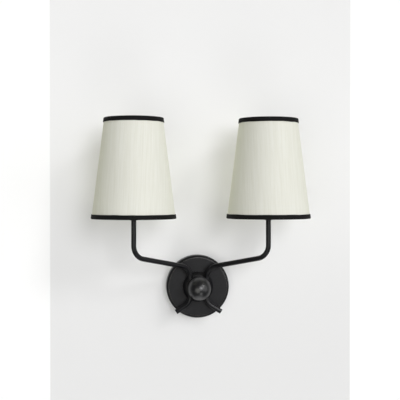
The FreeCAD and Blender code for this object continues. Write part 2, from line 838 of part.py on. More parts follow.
def save_side(name, side):
    """Write one arm with its lamp holder, bulb and shade."""
    save(name + "_arm", arm(side))
    save(name + "_tail_plug", tail_plug(side))
    save(name + "_flex", flex(side))
    on_holder = {
        "cup": cup(), "holder_base": holder_base(), "holder_body": holder_body(),
        "screw_shell": screw_shell(), "centre_contact": centre_contact(),
        "lower_ring": threaded_ring(lower_ring_bottom, lower_ring_height),
        "upper_ring": threaded_ring(upper_ring_bottom, upper_ring_height),
        "ring_washer": ring_washer(), "bulb_button": bulb_button(), "bulb_cap": bulb_cap(),
        "bulb_glass": bulb_glass(), "shade_fabric": shade_fabric(), "shade_liner": shade_liner(),
        "bottom_trim": bottom_trim(), "top_trim": top_trim(),
        "bottom_wire": frame_wire(bottom_wire_height), "top_wire": frame_wire(top_wire_height),
        "fitter": fitter()}
    for piece, shape in on_holder.items():
        save(name + "_" + piece, at_holder(shape, side))


os.makedirs("parts", exist_ok=True)
save_middle()
for side_name, side_sign in sides.items():
    save_side(side_name, side_sign)
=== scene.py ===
"""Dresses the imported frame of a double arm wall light.

The frame gives every place and size.  The classes below build the finer meshes of the pieces that
show, such as the bent arms, the shades with their cloth and ribbons, the ribbed rings and the
threads, give each node of the frame its finish, and light the lamp softly on a pale wall.

Meshes are worked out in millimetres and stored in metres, in the frame's own axes: +X to the
right, +Y into the wall and +Z up.
"""

import logging
import math
from collections.abc import Callable, Iterable, Sequence
from dataclasses import dataclass, field
from enum import Enum
from typing import ClassVar

import bmesh
import bpy
from mathutils import Matrix, Vector, noise


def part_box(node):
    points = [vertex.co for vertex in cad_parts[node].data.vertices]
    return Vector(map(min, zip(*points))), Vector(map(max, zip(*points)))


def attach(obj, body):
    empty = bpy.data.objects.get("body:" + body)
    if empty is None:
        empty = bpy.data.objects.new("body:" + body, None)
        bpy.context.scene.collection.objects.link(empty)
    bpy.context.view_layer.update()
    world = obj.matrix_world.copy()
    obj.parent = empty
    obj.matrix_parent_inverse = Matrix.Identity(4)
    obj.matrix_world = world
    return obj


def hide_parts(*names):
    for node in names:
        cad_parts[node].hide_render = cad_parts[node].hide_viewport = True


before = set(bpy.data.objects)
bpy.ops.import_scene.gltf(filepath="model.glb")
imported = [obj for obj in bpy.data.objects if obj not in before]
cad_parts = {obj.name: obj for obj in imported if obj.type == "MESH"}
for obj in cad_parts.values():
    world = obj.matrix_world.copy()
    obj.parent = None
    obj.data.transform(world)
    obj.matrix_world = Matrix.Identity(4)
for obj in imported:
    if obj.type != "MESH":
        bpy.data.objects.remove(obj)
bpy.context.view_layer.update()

LOG = logging.getLogger("wall_light")
MM = 0.001
FULL_TURN = 2 * math.pi
MERGE_WITHIN = 1e-7
FRAME_BODY = "lamp_frame"

# How far each lamp holder's axis stands to the side and out from the wall, in millimetres.
HOLDER_REACH = 106.5
HOLDER_PROJECTION = 92.5

Colour = tuple[float, float, float]
Point = tuple[float, float, float]
Rows = list[list[Vector]]
Socket = bpy.types.NodeSocket
Sockets = dict[str, Socket]
Warp = Callable[[float, float, float], tuple[float, float]]


# ------------------------------------------------------------------------------ named choices
class Side(Enum):
    """The two lamp holders, by the side of the wall plate that they stand on."""

    LEFT = "left"
    RIGHT = "right"

    @property
    def sign(self) -> int:
        """Give -1 on the left and 1 on the right."""
        return -1 if self is Side.LEFT else 1

    @property
    def axis(self) -> Point:
        """Give the foot of this side's holder axis, in millimetres."""
        return self.sign * HOLDER_REACH, -HOLDER_PROJECTION, 0.0

    def node(self, piece: str) -> str:
        """Give the name of this side's node or piece."""
        return f"{self.value}_{piece}"

    def heights(self, piece: str) -> tuple[float, float]:
        """Give the lowest and highest level of one of this side's nodes, in millimetres."""
        low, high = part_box(self.node(piece))
        return low.z / MM, high.z / MM


class Effect(Enum):
    """The surface effects that several finishes share."""

    PATCHES = "patchy_tint"
    WEAR = "worn_edges"
    GRAIN = "fine_grain"
    THREADS = "crossed_threads"
    DUST = "settled_dust"
    TOOLING = "turning_marks"


class Edge(Enum):
    """The two edges of a shade, with the direction from each into the shade."""

    BOTTOM = 1
    TOP = -1

    @property
    def word(self) -> str:
        """Give the edge's word in the names of nodes and pieces."""
        return self.name.lower()


# ------------------------------------------------------------------------------ shader graphs
def by_name(sockets: Iterable[Socket]) -> Sockets:
    """Give sockets by their names."""
    return {socket.name: socket for socket in sockets}


@dataclass
class Graph:
    """Short calls that add nodes to one node tree and join them."""

    tree: bpy.types.NodeTree

    def add(self, kind: str, settings: dict[str, object] | None = None, **inputs: object) -> bpy.types.Node:
        """Add a node.

        Args:
            kind: Blender's name for the type of node.
            settings: Properties of the node, by name.
            **inputs: Values or sockets for its inputs, with _ for each space in a name.

        Returns:
            The new node.
        """
        node = self.tree.nodes.new(kind)
        for name, value in (settings or {}).items():
            setattr(node, name, value)
        for name, value in inputs.items():
            self.feed(node.inputs[name.replace("_", " ")], value)
        return node

    def feed(self, socket: Socket, value: object) -> None:
        """Join a socket to an input, or set the input's own value.

        Args:
            socket: The input.
            value: Another node's output, or a plain value.
        """
        if isinstance(value, Socket):
            self.tree.links.new(value, socket)
        else:
            socket.default_value = value

    def math(self, operation: str, *values: object, clamp: bool = False) -> Socket:
        """Add a Math node.

        Args:
            operation: The operation's name.
            *values: Its inputs, as numbers or sockets.
            clamp: Whether the result stays between 0 and 1.

        Returns:
            The result.
        """
        node = self.add("ShaderNodeMath", {"operation": operation, "use_clamp": clamp})
        for socket, value in zip(node.inputs, values):
            self.feed(socket, value)
        return node.outputs[0]

    def mix(self, factor: object, first: object, second: object) -> Socket:
        """Mix two colours.

        Args:
            factor: How much of the second, from 0 to 1.
            first: A colour or a socket.
            second: A colour or a socket.

        Returns:
            The mixed colour.
        """
        node = self.add("ShaderNodeMix", {"data_type": "RGBA"})
        self.feed(node.inputs[0], factor)
        for index, colour in ((6, first), (7, second)):
            self.feed(node.inputs[index], (*colour, 1.0) if isinstance(colour, tuple) else colour)
        return node.outputs[2]

    def spread(self, value: object, low: float, high: float, to_low: float = 0.0,
               to_high: float = 1.0) -> Socket:
        """Map a range onto another with a smooth step.

        Args:
            value: The value to map.
            low: Where the range starts.
            high: Where it ends.
            to_low: What the start becomes.
            to_high: What the end becomes.

        Returns:
            The mapped value.
        """
        node = self.add("ShaderNodeMapRange", {"interpolation_type": "SMOOTHSTEP"}, Value=value,
                        From_Min=low, From_Max=high, To_Min=to_low, To_Max=to_high)
        return node.outputs[0]

    def noise(self, vector: object, scale: object, detail: float = 2.0) -> Socket:
        """Add plain noise.

        Args:
            vector: Where it is read.
            scale: Its size, in patches a metre.
            detail: How many finer layers it has.

        Returns:
            A value from 0 to 1.
        """
        return self.add("ShaderNodeTexNoise", Vector=vector, Scale=scale, Detail=detail).outputs[0]

    def stretched(self, vector: object, scale: Point) -> Socket:
        """Scale a position by a factor along each axis."""
        return self.add("ShaderNodeMapping", Vector=vector, Scale=scale).outputs[0]

    def parts(self, vector: object) -> Sockets:
        """Give the X, Y and Z of a position or a direction."""
        return by_name(self.add("ShaderNodeSeparateXYZ", Vector=vector).outputs)

    def place(self) -> Socket:
        """Give the position on the piece, in metres."""
        return self.add("ShaderNodeTexCoord").outputs["Object"]

    def effect(self, effect: Effect, vector: Socket, **inputs: float) -> Socket:
        """Add one of the shared effects.

        Args:
            effect: Which one.
            vector: The position that it reads.
            **inputs: Values for its other inputs.

        Returns:
            The effect's mask, factor or height.
        """
        settings = {"node_tree": Effects.tree(effect)}
        return self.add("ShaderNodeGroup", settings, Vector=vector, **inputs).outputs[0]

    def bump(self, height: object, strength: float, distance: float, normal: object = None) -> Socket:
        """Turn a height into a normal.

        Args:
            height: The height, from 0 to 1.
            strength: How much of it counts.
            distance: The depth of a height of 1, in metres.
            normal: A normal to add it to.

        Returns:
            The new normal.
        """
        node = self.add("ShaderNodeBump", Height=height, Strength=strength, Distance=distance)
        if normal is not None:
            self.feed(node.inputs["Normal"], normal)
        return node.outputs[0]


class Effects:
    """The shared effects as node groups, each built once."""

    NUMBER: ClassVar[str] = "NodeSocketFloat"
    VECTOR: ClassVar[str] = "NodeSocketVector"

    @classmethod
    def tree(cls, effect: Effect) -> bpy.types.NodeTree:
        """Give the group of an effect, built at its first use.

        Args:
            effect: Which effect.

        Returns:
            The node group.
        """
        made = bpy.data.node_groups.get(effect.value)
        if made is None:
            made = getattr(cls, effect.value)()
        return made

    @classmethod
    def start(cls, effect: Effect, output: str, *inputs: str) -> tuple[Graph, Sockets, Socket]:
        """Start a group that reads a position and gives one number.

        Args:
            effect: The effect that it is for.
            output: The name of its output.
            *inputs: The names of its number inputs.

        Returns:
            The graph, its inputs by name and its output.
        """
        tree = bpy.data.node_groups.new(effect.value, "ShaderNodeTree")
        tree.interface.new_socket(name="Vector", in_out="INPUT", socket_type=cls.VECTOR)
        for name in inputs:
            tree.interface.new_socket(name=name, in_out="INPUT", socket_type=cls.NUMBER)
        tree.interface.new_socket(name=output, in_out="OUTPUT", socket_type=cls.NUMBER)
        graph = Graph(tree)
        given = by_name(graph.add("NodeGroupInput").outputs)
        return graph, given, graph.add("NodeGroupOutput").inputs[0]

    @classmethod
    def patchy_tint(cls) -> bpy.types.NodeTree:
        """Build slow changes of tone, with a finer layer in them."""
        graph, given, out = cls.start(Effect.PATCHES, "Factor", "Scale", "Contrast")
        broad = graph.noise(given["Vector"], given["Scale"], 3.0)
        fine = graph.noise(given["Vector"], graph.math("MULTIPLY", given["Scale"], 9.0))
        both = graph.math("ADD", graph.math("MULTIPLY", broad, 0.72), graph.math("MULTIPLY", fine, 0.28))
        centred = graph.math("MULTIPLY", graph.math("SUBTRACT", both, 0.5), given["Contrast"])
        graph.feed(out, graph.math("ADD", graph.math("MULTIPLY", centred, 2.4), 0.5, clamp=True))
        return graph.tree

    @classmethod
    def worn_edges(cls) -> bpy.types.NodeTree:
        """Build a mask of the sharp outer edges, broken up by noise."""
        graph, given, out = cls.start(Effect.WEAR, "Mask", "Width", "Scale", "Amount")
        soft = graph.add("ShaderNodeBevel", {"samples": 6}, Radius=given["Width"]).outputs[0]
        true = graph.add("ShaderNodeNewGeometry").outputs["Normal"]
        likeness = graph.add("ShaderNodeVectorMath", {"operation": "DOT_PRODUCT"})
        graph.feed(likeness.inputs[0], soft)
        graph.feed(likeness.inputs[1], true)
        turned = graph.math("SUBTRACT", 1.0, likeness.outputs["Value"])
        edge = graph.spread(turned, 0.015, 0.16)
        broken = graph.noise(given["Vector"], given["Scale"], 4.0)
        limit = graph.math("SUBTRACT", 0.78, graph.math("MULTIPLY", given["Amount"], 0.45))
        patches = graph.math("MULTIPLY", graph.math("SUBTRACT", broken, limit), 7.0, clamp=True)
        graph.feed(out, graph.math("MULTIPLY", edge, patches, clamp=True))
        return graph.tree

    @classmethod
    def fine_grain(cls) -> bpy.types.NodeTree:
        """Build the fine orange-peel of a coat or a moulding."""
        graph, given, out = cls.start(Effect.GRAIN, "Height", "Scale", "Coarse")
        fine = graph.noise(given["Vector"], given["Scale"])
        slow = graph.noise(given["Vector"], graph.math("MULTIPLY", given["Scale"], 0.14))
        share = graph.math("MULTIPLY", slow, given["Coarse"])
        graph.feed(out, graph.math("ADD", graph.math("MULTIPLY", fine, 0.7), share, clamp=True))
        return graph.tree

    @classmethod
    def crossed_threads(cls) -> bpy.types.NodeTree:
        """Build a plain weave of threads that run along X and Y of the position."""
        graph, given, out = cls.start(Effect.THREADS, "Height", "Warps", "Wefts", "Waver")
        drift = graph.noise(given["Vector"], 160.0)
        parts = graph.parts(given["Vector"])
        shift = graph.math("MULTIPLY", graph.math("SUBTRACT", drift, 0.5), given["Waver"])
        half_turns = {}
        for name, across in (("Warps", "X"), ("Wefts", "Y")):
            count = graph.math("MULTIPLY_ADD", parts[across], given[name], shift)
            half_turns[name] = graph.math("MULTIPLY", count, math.pi)
        warp = graph.math("ABSOLUTE", graph.math("SINE", half_turns["Warps"]))
        weft = graph.math("ABSOLUTE", graph.math("SINE", half_turns["Wefts"]))
        beat = graph.math("MULTIPLY", graph.math("COSINE", half_turns["Warps"]),
                          graph.math("COSINE", half_turns["Wefts"]))
        over = graph.spread(beat, -0.35, 0.35)
        lying = graph.math("MULTIPLY", weft, graph.math("SUBTRACT", 1.0, over))
        graph.feed(out, graph.math("ADD", graph.math("MULTIPLY", warp, over), lying))
        return graph.tree

    @classmethod
    def settled_dust(cls) -> bpy.types.NodeTree:
        """Build the thin dust that lies on faces that look up."""
        graph, given, out = cls.start(Effect.DUST, "Mask", "Scale", "Amount")
        normal = graph.add("ShaderNodeNewGeometry").outputs["Normal"]
        up = graph.spread(graph.parts(normal)["Z"], 0.35, 1.0)
        cloud = graph.spread(graph.noise(given["Vector"], given["Scale"], 5.0), 0.35, 0.75, 0.3, 1.0)
        lying = graph.math("MULTIPLY", up, cloud)
        graph.feed(out, graph.math("MULTIPLY", lying, given["Amount"], clamp=True))
        return graph.tree

    @classmethod
    def turning_marks(cls) -> bpy.types.NodeTree:
        """Build fine marks drawn out across the last axis of the position."""
        graph, given, out = cls.start(Effect.TOOLING, "Height", "Scale")
        across = graph.stretched(given["Vector"], (0.05, 0.05, 1.0))
        graph.feed(out, graph.noise(across, given["Scale"], 3.0))
        return graph.tree


# ------------------------------------------------------------------------------ finishes
@dataclass(frozen=True)
class Finish:
    """A finish: a name and a material that is made once."""

    name: str

    def lay(self, graph: Graph, shader: bpy.types.Node) -> None:
        """Add this finish's nodes to a new material.

        Args:
            graph: The material's graph.
            shader: Its Principled BSDF.
        """
        raise NotImplementedError

    def material(self) -> bpy.types.Material:
        """Give the material, made at its first use."""
        made = bpy.data.materials.get(self.name)
        if made is None:
            made = bpy.data.materials.new(self.name)
            made.use_nodes = True
            self.lay(Graph(made.node_tree), made.node_tree.nodes["Principled BSDF"])
        return made


@dataclass(frozen=True)
class BlackCoat(Finish):
    """Satin black over steel: fine grain, slow changes of tone, and edges rubbed to bronze with a painted
    highlight.
    """

    dark: Colour = (0.0036, 0.0036, 0.0044)
    light: Colour = (0.0094, 0.0093, 0.0108)
    worn: Colour = (0.115, 0.095, 0.078)
    dusty: Colour = (0.16, 0.155, 0.145)
    roughness: float = 0.40
    forged_depth: float = 0.00008
    forged_scale: float = 130.0
    wear_amount: float = 0.45
    dust_amount: float = 0.10
    shine: float = 0.16
    wax: float = 0.12
    wax_roughness: float = 0.17

    def lay(self, graph: Graph, shader: bpy.types.Node) -> None:
        """Add the coat, its wear and painted edge highlight, its dust and its uneven surface."""
        place = graph.place()
        patches = graph.effect(Effect.PATCHES, place, Scale=55.0, Contrast=1.3)
        wear = graph.effect(Effect.WEAR, place, Width=0.0007, Scale=520.0, Amount=self.wear_amount)
        dust = graph.effect(Effect.DUST, place, Scale=120.0, Amount=self.dust_amount)
        coat = graph.mix(patches, self.dark, self.light)
        # The edges take the edge colour: partly rubbed wear and partly a painted highlight along the edges.
        rubbed_and_highlit = graph.mix(wear, coat, self.worn)
        graph.feed(shader.inputs["Base Color"], graph.mix(dust, rubbed_and_highlit, self.dusty))
        graph.feed(shader.inputs["Metallic"], graph.math("MULTIPLY", wear, 0.75))
        patch_rough = graph.math("MULTIPLY_ADD", patches, 0.14, self.roughness - 0.07)
        graph.feed(shader.inputs["Roughness"], graph.math("MULTIPLY_ADD", dust, 0.4, patch_rough, clamp=True))
        forged = graph.bump(graph.noise(place, self.forged_scale, 1.5), 1.0, self.forged_depth)
        grain = graph.effect(Effect.GRAIN, place, Scale=1900.0, Coarse=0.5)
        graph.feed(shader.inputs["Normal"], graph.bump(grain, 0.5, 0.00004, forged))
        shader.inputs["Specular IOR Level"].default_value = self.shine
        shader.inputs["Coat Weight"].default_value = self.wax
        shader.inputs["Coat Roughness"].default_value = self.wax_roughness


@dataclass(frozen=True)
class BareMetal(Finish):
    """Plated or bare metal with turning marks, tarnish and bright edges."""

    colour: Colour = (0.60, 0.61, 0.62)
    tarnish: Colour = (0.42, 0.43, 0.46)
    bright: Colour = (0.80, 0.80, 0.80)
    roughness: float = 0.33
    marks_depth: float = 0.00002

    def lay(self, graph: Graph, shader: bpy.types.Node) -> None:
        """Add the metal, its tarnish, its edges and its marks."""
        place = graph.place()
        patches = graph.effect(Effect.PATCHES, place, Scale=140.0, Contrast=1.6)
        wear = graph.effect(Effect.WEAR, place, Width=0.0003, Scale=900.0, Amount=0.9)
        base = graph.mix(patches, self.tarnish, self.colour)
        graph.feed(shader.inputs["Base Color"], graph.mix(wear, base, self.bright))
        shader.inputs["Metallic"].default_value = 1.0
        worn_rough = graph.math("MULTIPLY_ADD", wear, -0.1, self.roughness + 0.06)
        graph.feed(shader.inputs["Roughness"], graph.math("MULTIPLY_ADD", patches, -0.12, worn_rough))
        marks = graph.effect(Effect.TOOLING, place, Scale=2600.0)
        graph.feed(shader.inputs["Normal"], graph.bump(marks, 0.6, self.marks_depth))


@dataclass(frozen=True)
class Moulding(Finish):
    """Moulded plastic or pressed fibre with a fine grain and slow changes of tone."""

    colour: Colour = (0.028, 0.028, 0.029)
    second: Colour = (0.045, 0.045, 0.046)
    dusty: Colour = (0.30, 0.29, 0.27)
    roughness: float = 0.42
    grain_scale: float = 3200.0
    grain_depth: float = 0.00003
    dust_amount: float = 0.12

    def lay(self, graph: Graph, shader: bpy.types.Node) -> None:
        """Add the moulding's tone, its grain and a little dust."""
        place = graph.place()
        patches = graph.effect(Effect.PATCHES, place, Scale=110.0, Contrast=1.2)
        dust = graph.effect(Effect.DUST, place, Scale=200.0, Amount=self.dust_amount)
        tone = graph.mix(patches, self.colour, self.second)
        graph.feed(shader.inputs["Base Color"], graph.mix(dust, tone, self.dusty))
        rough = graph.math("MULTIPLY_ADD", patches, 0.12, self.roughness - 0.06)
        graph.feed(shader.inputs["Roughness"], rough)
        grain = graph.effect(Effect.GRAIN, place, Scale=self.grain_scale, Coarse=0.4)
        graph.feed(shader.inputs["Normal"], graph.bump(grain, 0.6, self.grain_depth))


@dataclass(frozen=True)
class OpalGlass(Finish):
    """Opal white glass with a faint cloud in it and a clear gloss."""

    thin: Colour = (0.80, 0.79, 0.75)
    dense: Colour = (0.88, 0.88, 0.85)

    def lay(self, graph: Graph, shader: bpy.types.Node) -> None:
        """Add the opal body and its gloss."""
        place = graph.place()
        cloud = graph.effect(Effect.PATCHES, place, Scale=60.0, Contrast=0.8)
        graph.feed(shader.inputs["Base Color"], graph.mix(cloud, self.thin, self.dense))
        shader.inputs["Roughness"].default_value = 0.16
        shader.inputs["Subsurface Weight"].default_value = 0.35
        shader.inputs["Subsurface Scale"].default_value = 0.004
        shader.inputs["Coat Weight"].default_value = 0.35
        shader.inputs["Coat Roughness"].default_value = 0.05
        ripple = graph.noise(place, 220.0, 1.0)
        graph.feed(shader.inputs["Normal"], graph.bump(ripple, 0.4, 0.00003))


@dataclass(frozen=True)
class ShadeCloth(Finish):
    """Cream cloth in a fine plain weave, with thick yarns that run up the shade."""

    pale: Colour = (0.804, 0.806, 0.742)
    deep: Colour = (0.746, 0.745, 0.664)
    slub: Colour = (0.715, 0.712, 0.640)
    warps: float = 2300.0
    wefts: float = 2100.0
    yarns_a_metre: float = 620.0
    bundles_a_metre: float = 250.0

    def lay(self, graph: Graph, shader: bpy.types.Node) -> None:
        """Add the weave, the thick yarns, the cloth's slow changes of tone and painted shade in the weave's
        hollows.
        """
        cut = graph.add("ShaderNodeAttribute", {"attribute_name": RolledCloth.CUT}).outputs["Vector"]
        weave = graph.effect(Effect.THREADS, cut, Warps=self.warps, Wefts=self.wefts, Waver=0.8)
        streaks = graph.noise(graph.stretched(cut, (1.0, 0.030, 1.0)), self.yarns_a_metre, 3.0)
        yarns = graph.spread(streaks, 0.36, 0.64)
        broad = graph.noise(graph.stretched(cut, (1.0, 0.025, 1.0)), self.bundles_a_metre, 1.0)
        bundles = graph.spread(broad, 0.3, 0.7)
        patches = graph.effect(Effect.PATCHES, cut, Scale=24.0, Contrast=0.8)
        strands = graph.math("MULTIPLY_ADD", bundles, 0.34, graph.math("MULTIPLY", yarns, 0.46))
        tone = graph.math("MULTIPLY_ADD", patches, 0.20, strands)
        ground = graph.mix(tone, self.pale, self.deep)
        thick = graph.spread(streaks, 0.60, 0.74, 0.0, 0.40)
        yarned = graph.mix(thick, ground, self.slub)
        # Painted shade: the hollows between the threads are darkened towards the slub colour.
        shaded_gaps = graph.spread(weave, 0.0, 0.55, 0.30, 0.0)
        graph.feed(shader.inputs["Base Color"], graph.mix(shaded_gaps, yarned, self.slub))
        graph.feed(shader.inputs["Roughness"], graph.math("MULTIPLY_ADD", yarns, 0.1, 0.82))
        shader.inputs["Specular IOR Level"].default_value = 0.22
        shader.inputs["Sheen Weight"].default_value = 0.12
        shader.inputs["Sheen Roughness"].default_value = 0.45
        ribs = graph.bump(graph.math("MULTIPLY_ADD", thick, 1.2, yarns), 0.4, 0.00006)
        graph.feed(shader.inputs["Normal"], graph.bump(weave, 0.45, 0.00010, ribs))


@dataclass(frozen=True)
class LiningSheet(Finish):
    """The smooth white lining inside a shade, with the cloth's yarns faintly pressed through."""

    deep: Colour = (0.80, 0.80, 0.75)
    pale: Colour = (0.86, 0.86, 0.82)

    def lay(self, graph: Graph, shader: bpy.types.Node) -> None:
        """Add the lining's tone, its gloss and the pressed yarns."""
        place = graph.place()
        patches = graph.effect(Effect.PATCHES, place, Scale=30.0, Contrast=0.7)
        graph.feed(shader.inputs["Base Color"], graph.mix(patches, self.deep, self.pale))
        graph.feed(shader.inputs["Roughness"], graph.math("MULTIPLY_ADD", patches, 0.12, 0.34))
        pressed = graph.noise(graph.stretched(place, (1.0, 1.0, 0.05)), 500.0, 3.0)
        graph.feed(shader.inputs["Normal"], graph.bump(pressed, 0.35, 0.00006))


@dataclass(frozen=True)
class RibbedRibbon(Finish):
    """Black ribbon with fine ribs across it and a soft nap."""

    dark: Colour = (0.0025, 0.0025, 0.0024)
    light: Colour = (0.0060, 0.0060, 0.0058)
    linty: Colour = (0.035, 0.034, 0.032)
    ribs_a_turn: int = 330

    def lay(self, graph: Graph, shader: bpy.types.Node) -> None:
        """Add the ribs, the threads that lie over them and the nap."""
        place = graph.place()
        parts = graph.parts(place)
        angle = graph.math("ARCTAN2", parts["Y"], parts["X"])
        ribs = graph.math("ABSOLUTE", graph.math("SINE", graph.math("MULTIPLY", angle, self.ribs_a_turn / 2)))
        lint = graph.spread(graph.noise(place, 2600.0, 3.0), 0.60, 0.80, 0.0, 0.5)
        patches = graph.effect(Effect.PATCHES, place, Scale=60.0, Contrast=1.2)
        ground = graph.mix(patches, self.dark, self.light)
        graph.feed(shader.inputs["Base Color"], graph.mix(lint, ground, self.linty))
        graph.feed(shader.inputs["Roughness"], graph.math("MULTIPLY_ADD", lint, 0.2, 0.72))
        shader.inputs["Specular IOR Level"].default_value = 0.14
        shader.inputs["Sheen Weight"].default_value = 0.02
        shader.inputs["Sheen Roughness"].default_value = 0.5
        threads = graph.noise(graph.stretched(place, (1.0, 1.0, 3.0)), 1500.0)
        nap = graph.bump(threads, 0.4, 0.00005)
        graph.feed(shader.inputs["Normal"], graph.bump(ribs, 0.6, 0.00012, nap))


@dataclass(frozen=True)
class PaleWall(Finish):
    """The pale wall and floor, seen from the front only, with painted shade that darkens the wall towards the
    bottom, white beyond the lamp's own stretch.

    A part of the tone glows for the camera alone, which keeps the shadows on the wall soft.
    """

    high: Colour = (0.862, 0.862, 0.862)
    low: Colour = (0.806, 0.806, 0.806)
    white: Colour = (1.0, 1.0, 1.0)
    low_level: float = -0.16
    high_level: float = 0.30
    middle: float = 0.0088
    half_stretch: float = 0.2520
    edge: float = 0.002
    level: float = 0.1435
    half_height: float = 0.370
    fade: float = 0.25
    glow: float = 0.20

    def lay(self, graph: Graph, shader: bpy.types.Node) -> None:
        """Add the wall's tone, and let the camera through from behind."""
        parts = graph.parts(graph.place())
        # Painted shade: the tone runs from the high colour above to the low colour below, darker towards the
        # bottom as the light falls off.
        share = graph.spread(parts["Z"], self.low_level, self.high_level)
        tone = graph.mix(share, self.low, self.high)
        aside = graph.math("ABSOLUTE", graph.math("SUBTRACT", parts["X"], self.middle))
        beyond = graph.spread(aside, self.half_stretch, self.half_stretch + self.edge)
        above = graph.math("ABSOLUTE", graph.math("SUBTRACT", parts["Z"], self.level))
        faded = graph.spread(above, self.half_height, self.half_height + self.fade)
        colour = graph.mix(graph.math("MAXIMUM", beyond, faded), tone, self.white)
        graph.feed(shader.inputs["Base Color"], colour)
        shader.inputs["Roughness"].default_value = 0.9
        shader.inputs["Specular IOR Level"].default_value = 0.1
        seen = graph.math("MULTIPLY", graph.add("ShaderNodeLightPath").outputs["Is Camera Ray"], self.glow)
        behind = graph.add("ShaderNodeNewGeometry").outputs["Backfacing"]
        surface = shader.outputs[0]
        for factor, other in ((seen, graph.add("ShaderNodeEmission", Color=colour)),
                              (behind, graph.add("ShaderNodeBsdfTransparent"))):
            mixed = graph.add("ShaderNodeMixShader")
            for index, value in ((0, factor), (1, surface), (2, other.outputs[0])):
                graph.feed(mixed.inputs[index], value)
            surface = mixed.outputs[0]
        graph.feed(graph.tree.nodes["Material Output"].inputs["Surface"], surface)


@dataclass(frozen=True)
class Finishes:
    """Every finish of the lamp, by what it is used on."""

    # The plate's edge colour is raised so that its edges show a painted highlight on top of the rubbed wear.
    plate: Finish = BlackCoat("plate_black", worn=(0.19, 0.175, 0.16), roughness=0.42, forged_depth=0.00003,
                              wear_amount=0.95, wax=0.15)
    ball: Finish = BlackCoat("ball_black", roughness=0.34, forged_depth=0.00004, forged_scale=95.0,
                             shine=0.40, wax=0.55, wax_roughness=0.27)
    # The tubes' edge colour is raised the same way: rubbed wear with a painted highlight along the edges.
    tube: Finish = BlackCoat("tube_black", worn=(0.19, 0.175, 0.16), roughness=0.38, forged_depth=0.00012,
                             forged_scale=150.0, shine=0.13, wax=0.22, wax_roughness=0.13)
    steel: Finish = BareMetal("plated_steel")
    brass: Finish = BareMetal("bare_brass", colour=(0.72, 0.53, 0.24), tarnish=(0.50, 0.35, 0.15),
                              bright=(0.86, 0.70, 0.40), roughness=0.30)
    nickel: Finish = BareMetal("nickel_plate", colour=(0.74, 0.73, 0.70), tarnish=(0.60, 0.59, 0.56),
                               bright=(0.88, 0.87, 0.84), roughness=0.22, marks_depth=0.00001)
    holder: Finish = Moulding("holder_black")
    terminals: Finish = Moulding("terminal_white", colour=(0.76, 0.75, 0.70), second=(0.83, 0.82, 0.78),
                                 roughness=0.38, dust_amount=0.05)
    fibre: Finish = Moulding("pressed_fibre", colour=(0.24, 0.15, 0.085), second=(0.34, 0.23, 0.14),
                             roughness=0.78, grain_scale=1500.0, grain_depth=0.00008)
    sleeve: Finish = Moulding("flex_sleeve", colour=(0.60, 0.60, 0.56), second=(0.68, 0.68, 0.64),
                              roughness=0.55, dust_amount=0.03)
    insulator: Finish = Moulding("black_glass", colour=(0.010, 0.010, 0.012), second=(0.016, 0.016, 0.018),
                                 roughness=0.14, grain_depth=0.000005, dust_amount=0.02)
    wire: Finish = Moulding("white_wire", colour=(0.78, 0.78, 0.75), second=(0.85, 0.85, 0.82),
                            roughness=0.36, dust_amount=0.04)
    glass: Finish = OpalGlass("opal_glass")
    cloth: Finish = ShadeCloth("shade_cloth")
    lining: Finish = LiningSheet("lining_sheet")
    ribbon: Finish = RibbedRibbon("ribbed_ribbon")
    wall: Finish = PaleWall("pale_wall")


# ------------------------------------------------------------------------------ shapes
@dataclass(frozen=True)
class Corner:
    """A corner of an outline: its radius and height, and how far it is rounded."""

    radius: float
    height: float
    rounding: float = 0.0


@dataclass(frozen=True)
class Outline:
    """An outline of corners, with arcs at the rounded ones and no step longer than a limit."""

    corners: tuple[Corner, ...]
    closed: bool = True
    arc_steps: int = 5
    longest: float = 50.0

    def arc(self, before: Corner, corner: Corner, after: Corner) -> list[Vector]:
        """Give the points that round one corner.

        Args:
            before: The corner before it.
            corner: The corner.
            after: The corner after it.

        Returns:
            The corner itself, or the points of its arc.
        """
        here = Vector((corner.radius, corner.height))
        back = Vector((before.radius, before.height)) - here
        ahead = Vector((after.radius, after.height)) - here
        if corner.rounding <= 0 or back.length < 1e-9 or ahead.length < 1e-9:
            return [here]
        half = back.angle(ahead) / 2
        reach = min(corner.rounding / math.tan(half), 0.49 * back.length, 0.49 * ahead.length)
        start, end = here + back.normalized() * reach, here + ahead.normalized() * reach
        points = []
        for step in range(self.arc_steps + 1):
            share = step / self.arc_steps
            points.append(start.lerp(here, share).lerp(here.lerp(end, share), share))
        return points

    def points(self) -> list[tuple[float, float]]:
        """Give the radius and height of each point of the outline, in order."""
        last = len(self.corners) - 1
        found: list[Vector] = []
        for index, corner in enumerate(self.corners):
            before, after = self.corners[index - 1], self.corners[(index + 1) % (last + 1)]
            if not self.closed and index in (0, last):
                found.append(Vector((corner.radius, corner.height)))
            else:
                found += self.arc(before, corner, after)
        ends = found[1:] + (found[:1] if self.closed else [])
        split: list[tuple[float, float]] = []
        for start, end in zip(found, ends):
            count = max(1, math.ceil((end - start).length / self.longest))
            split += [tuple(start.lerp(end, step / count)) for step in range(count)]
        if not self.closed:
            split.append(tuple(found[-1]))
        return split


@dataclass(frozen=True)
class Thread:
    """A round-topped screw thread cut into a turned wall."""

    pitch: float
    depth: float
    low: float
    high: float
    wall: float

    def __call__(self, angle: float, radius: float, height: float) -> tuple[float, float]:
        """Give the radius and height of a point once the thread is cut.

        Args:
            angle: The point's angle round the axis.
            radius: Its radius.
            height: Its height.

        Returns:
            The new radius and height.
        """
        if abs(radius - self.wall) > 0.02 or not self.low < height < self.high:
            return radius, height
        turn = (height / self.pitch - angle / FULL_TURN) % 1.0
        fade = min(1.0, (height - self.low) / self.pitch, (self.high - height) / self.pitch)
        return radius - self.depth * fade * (0.5 - 0.5 * math.cos(FULL_TURN * turn)), height


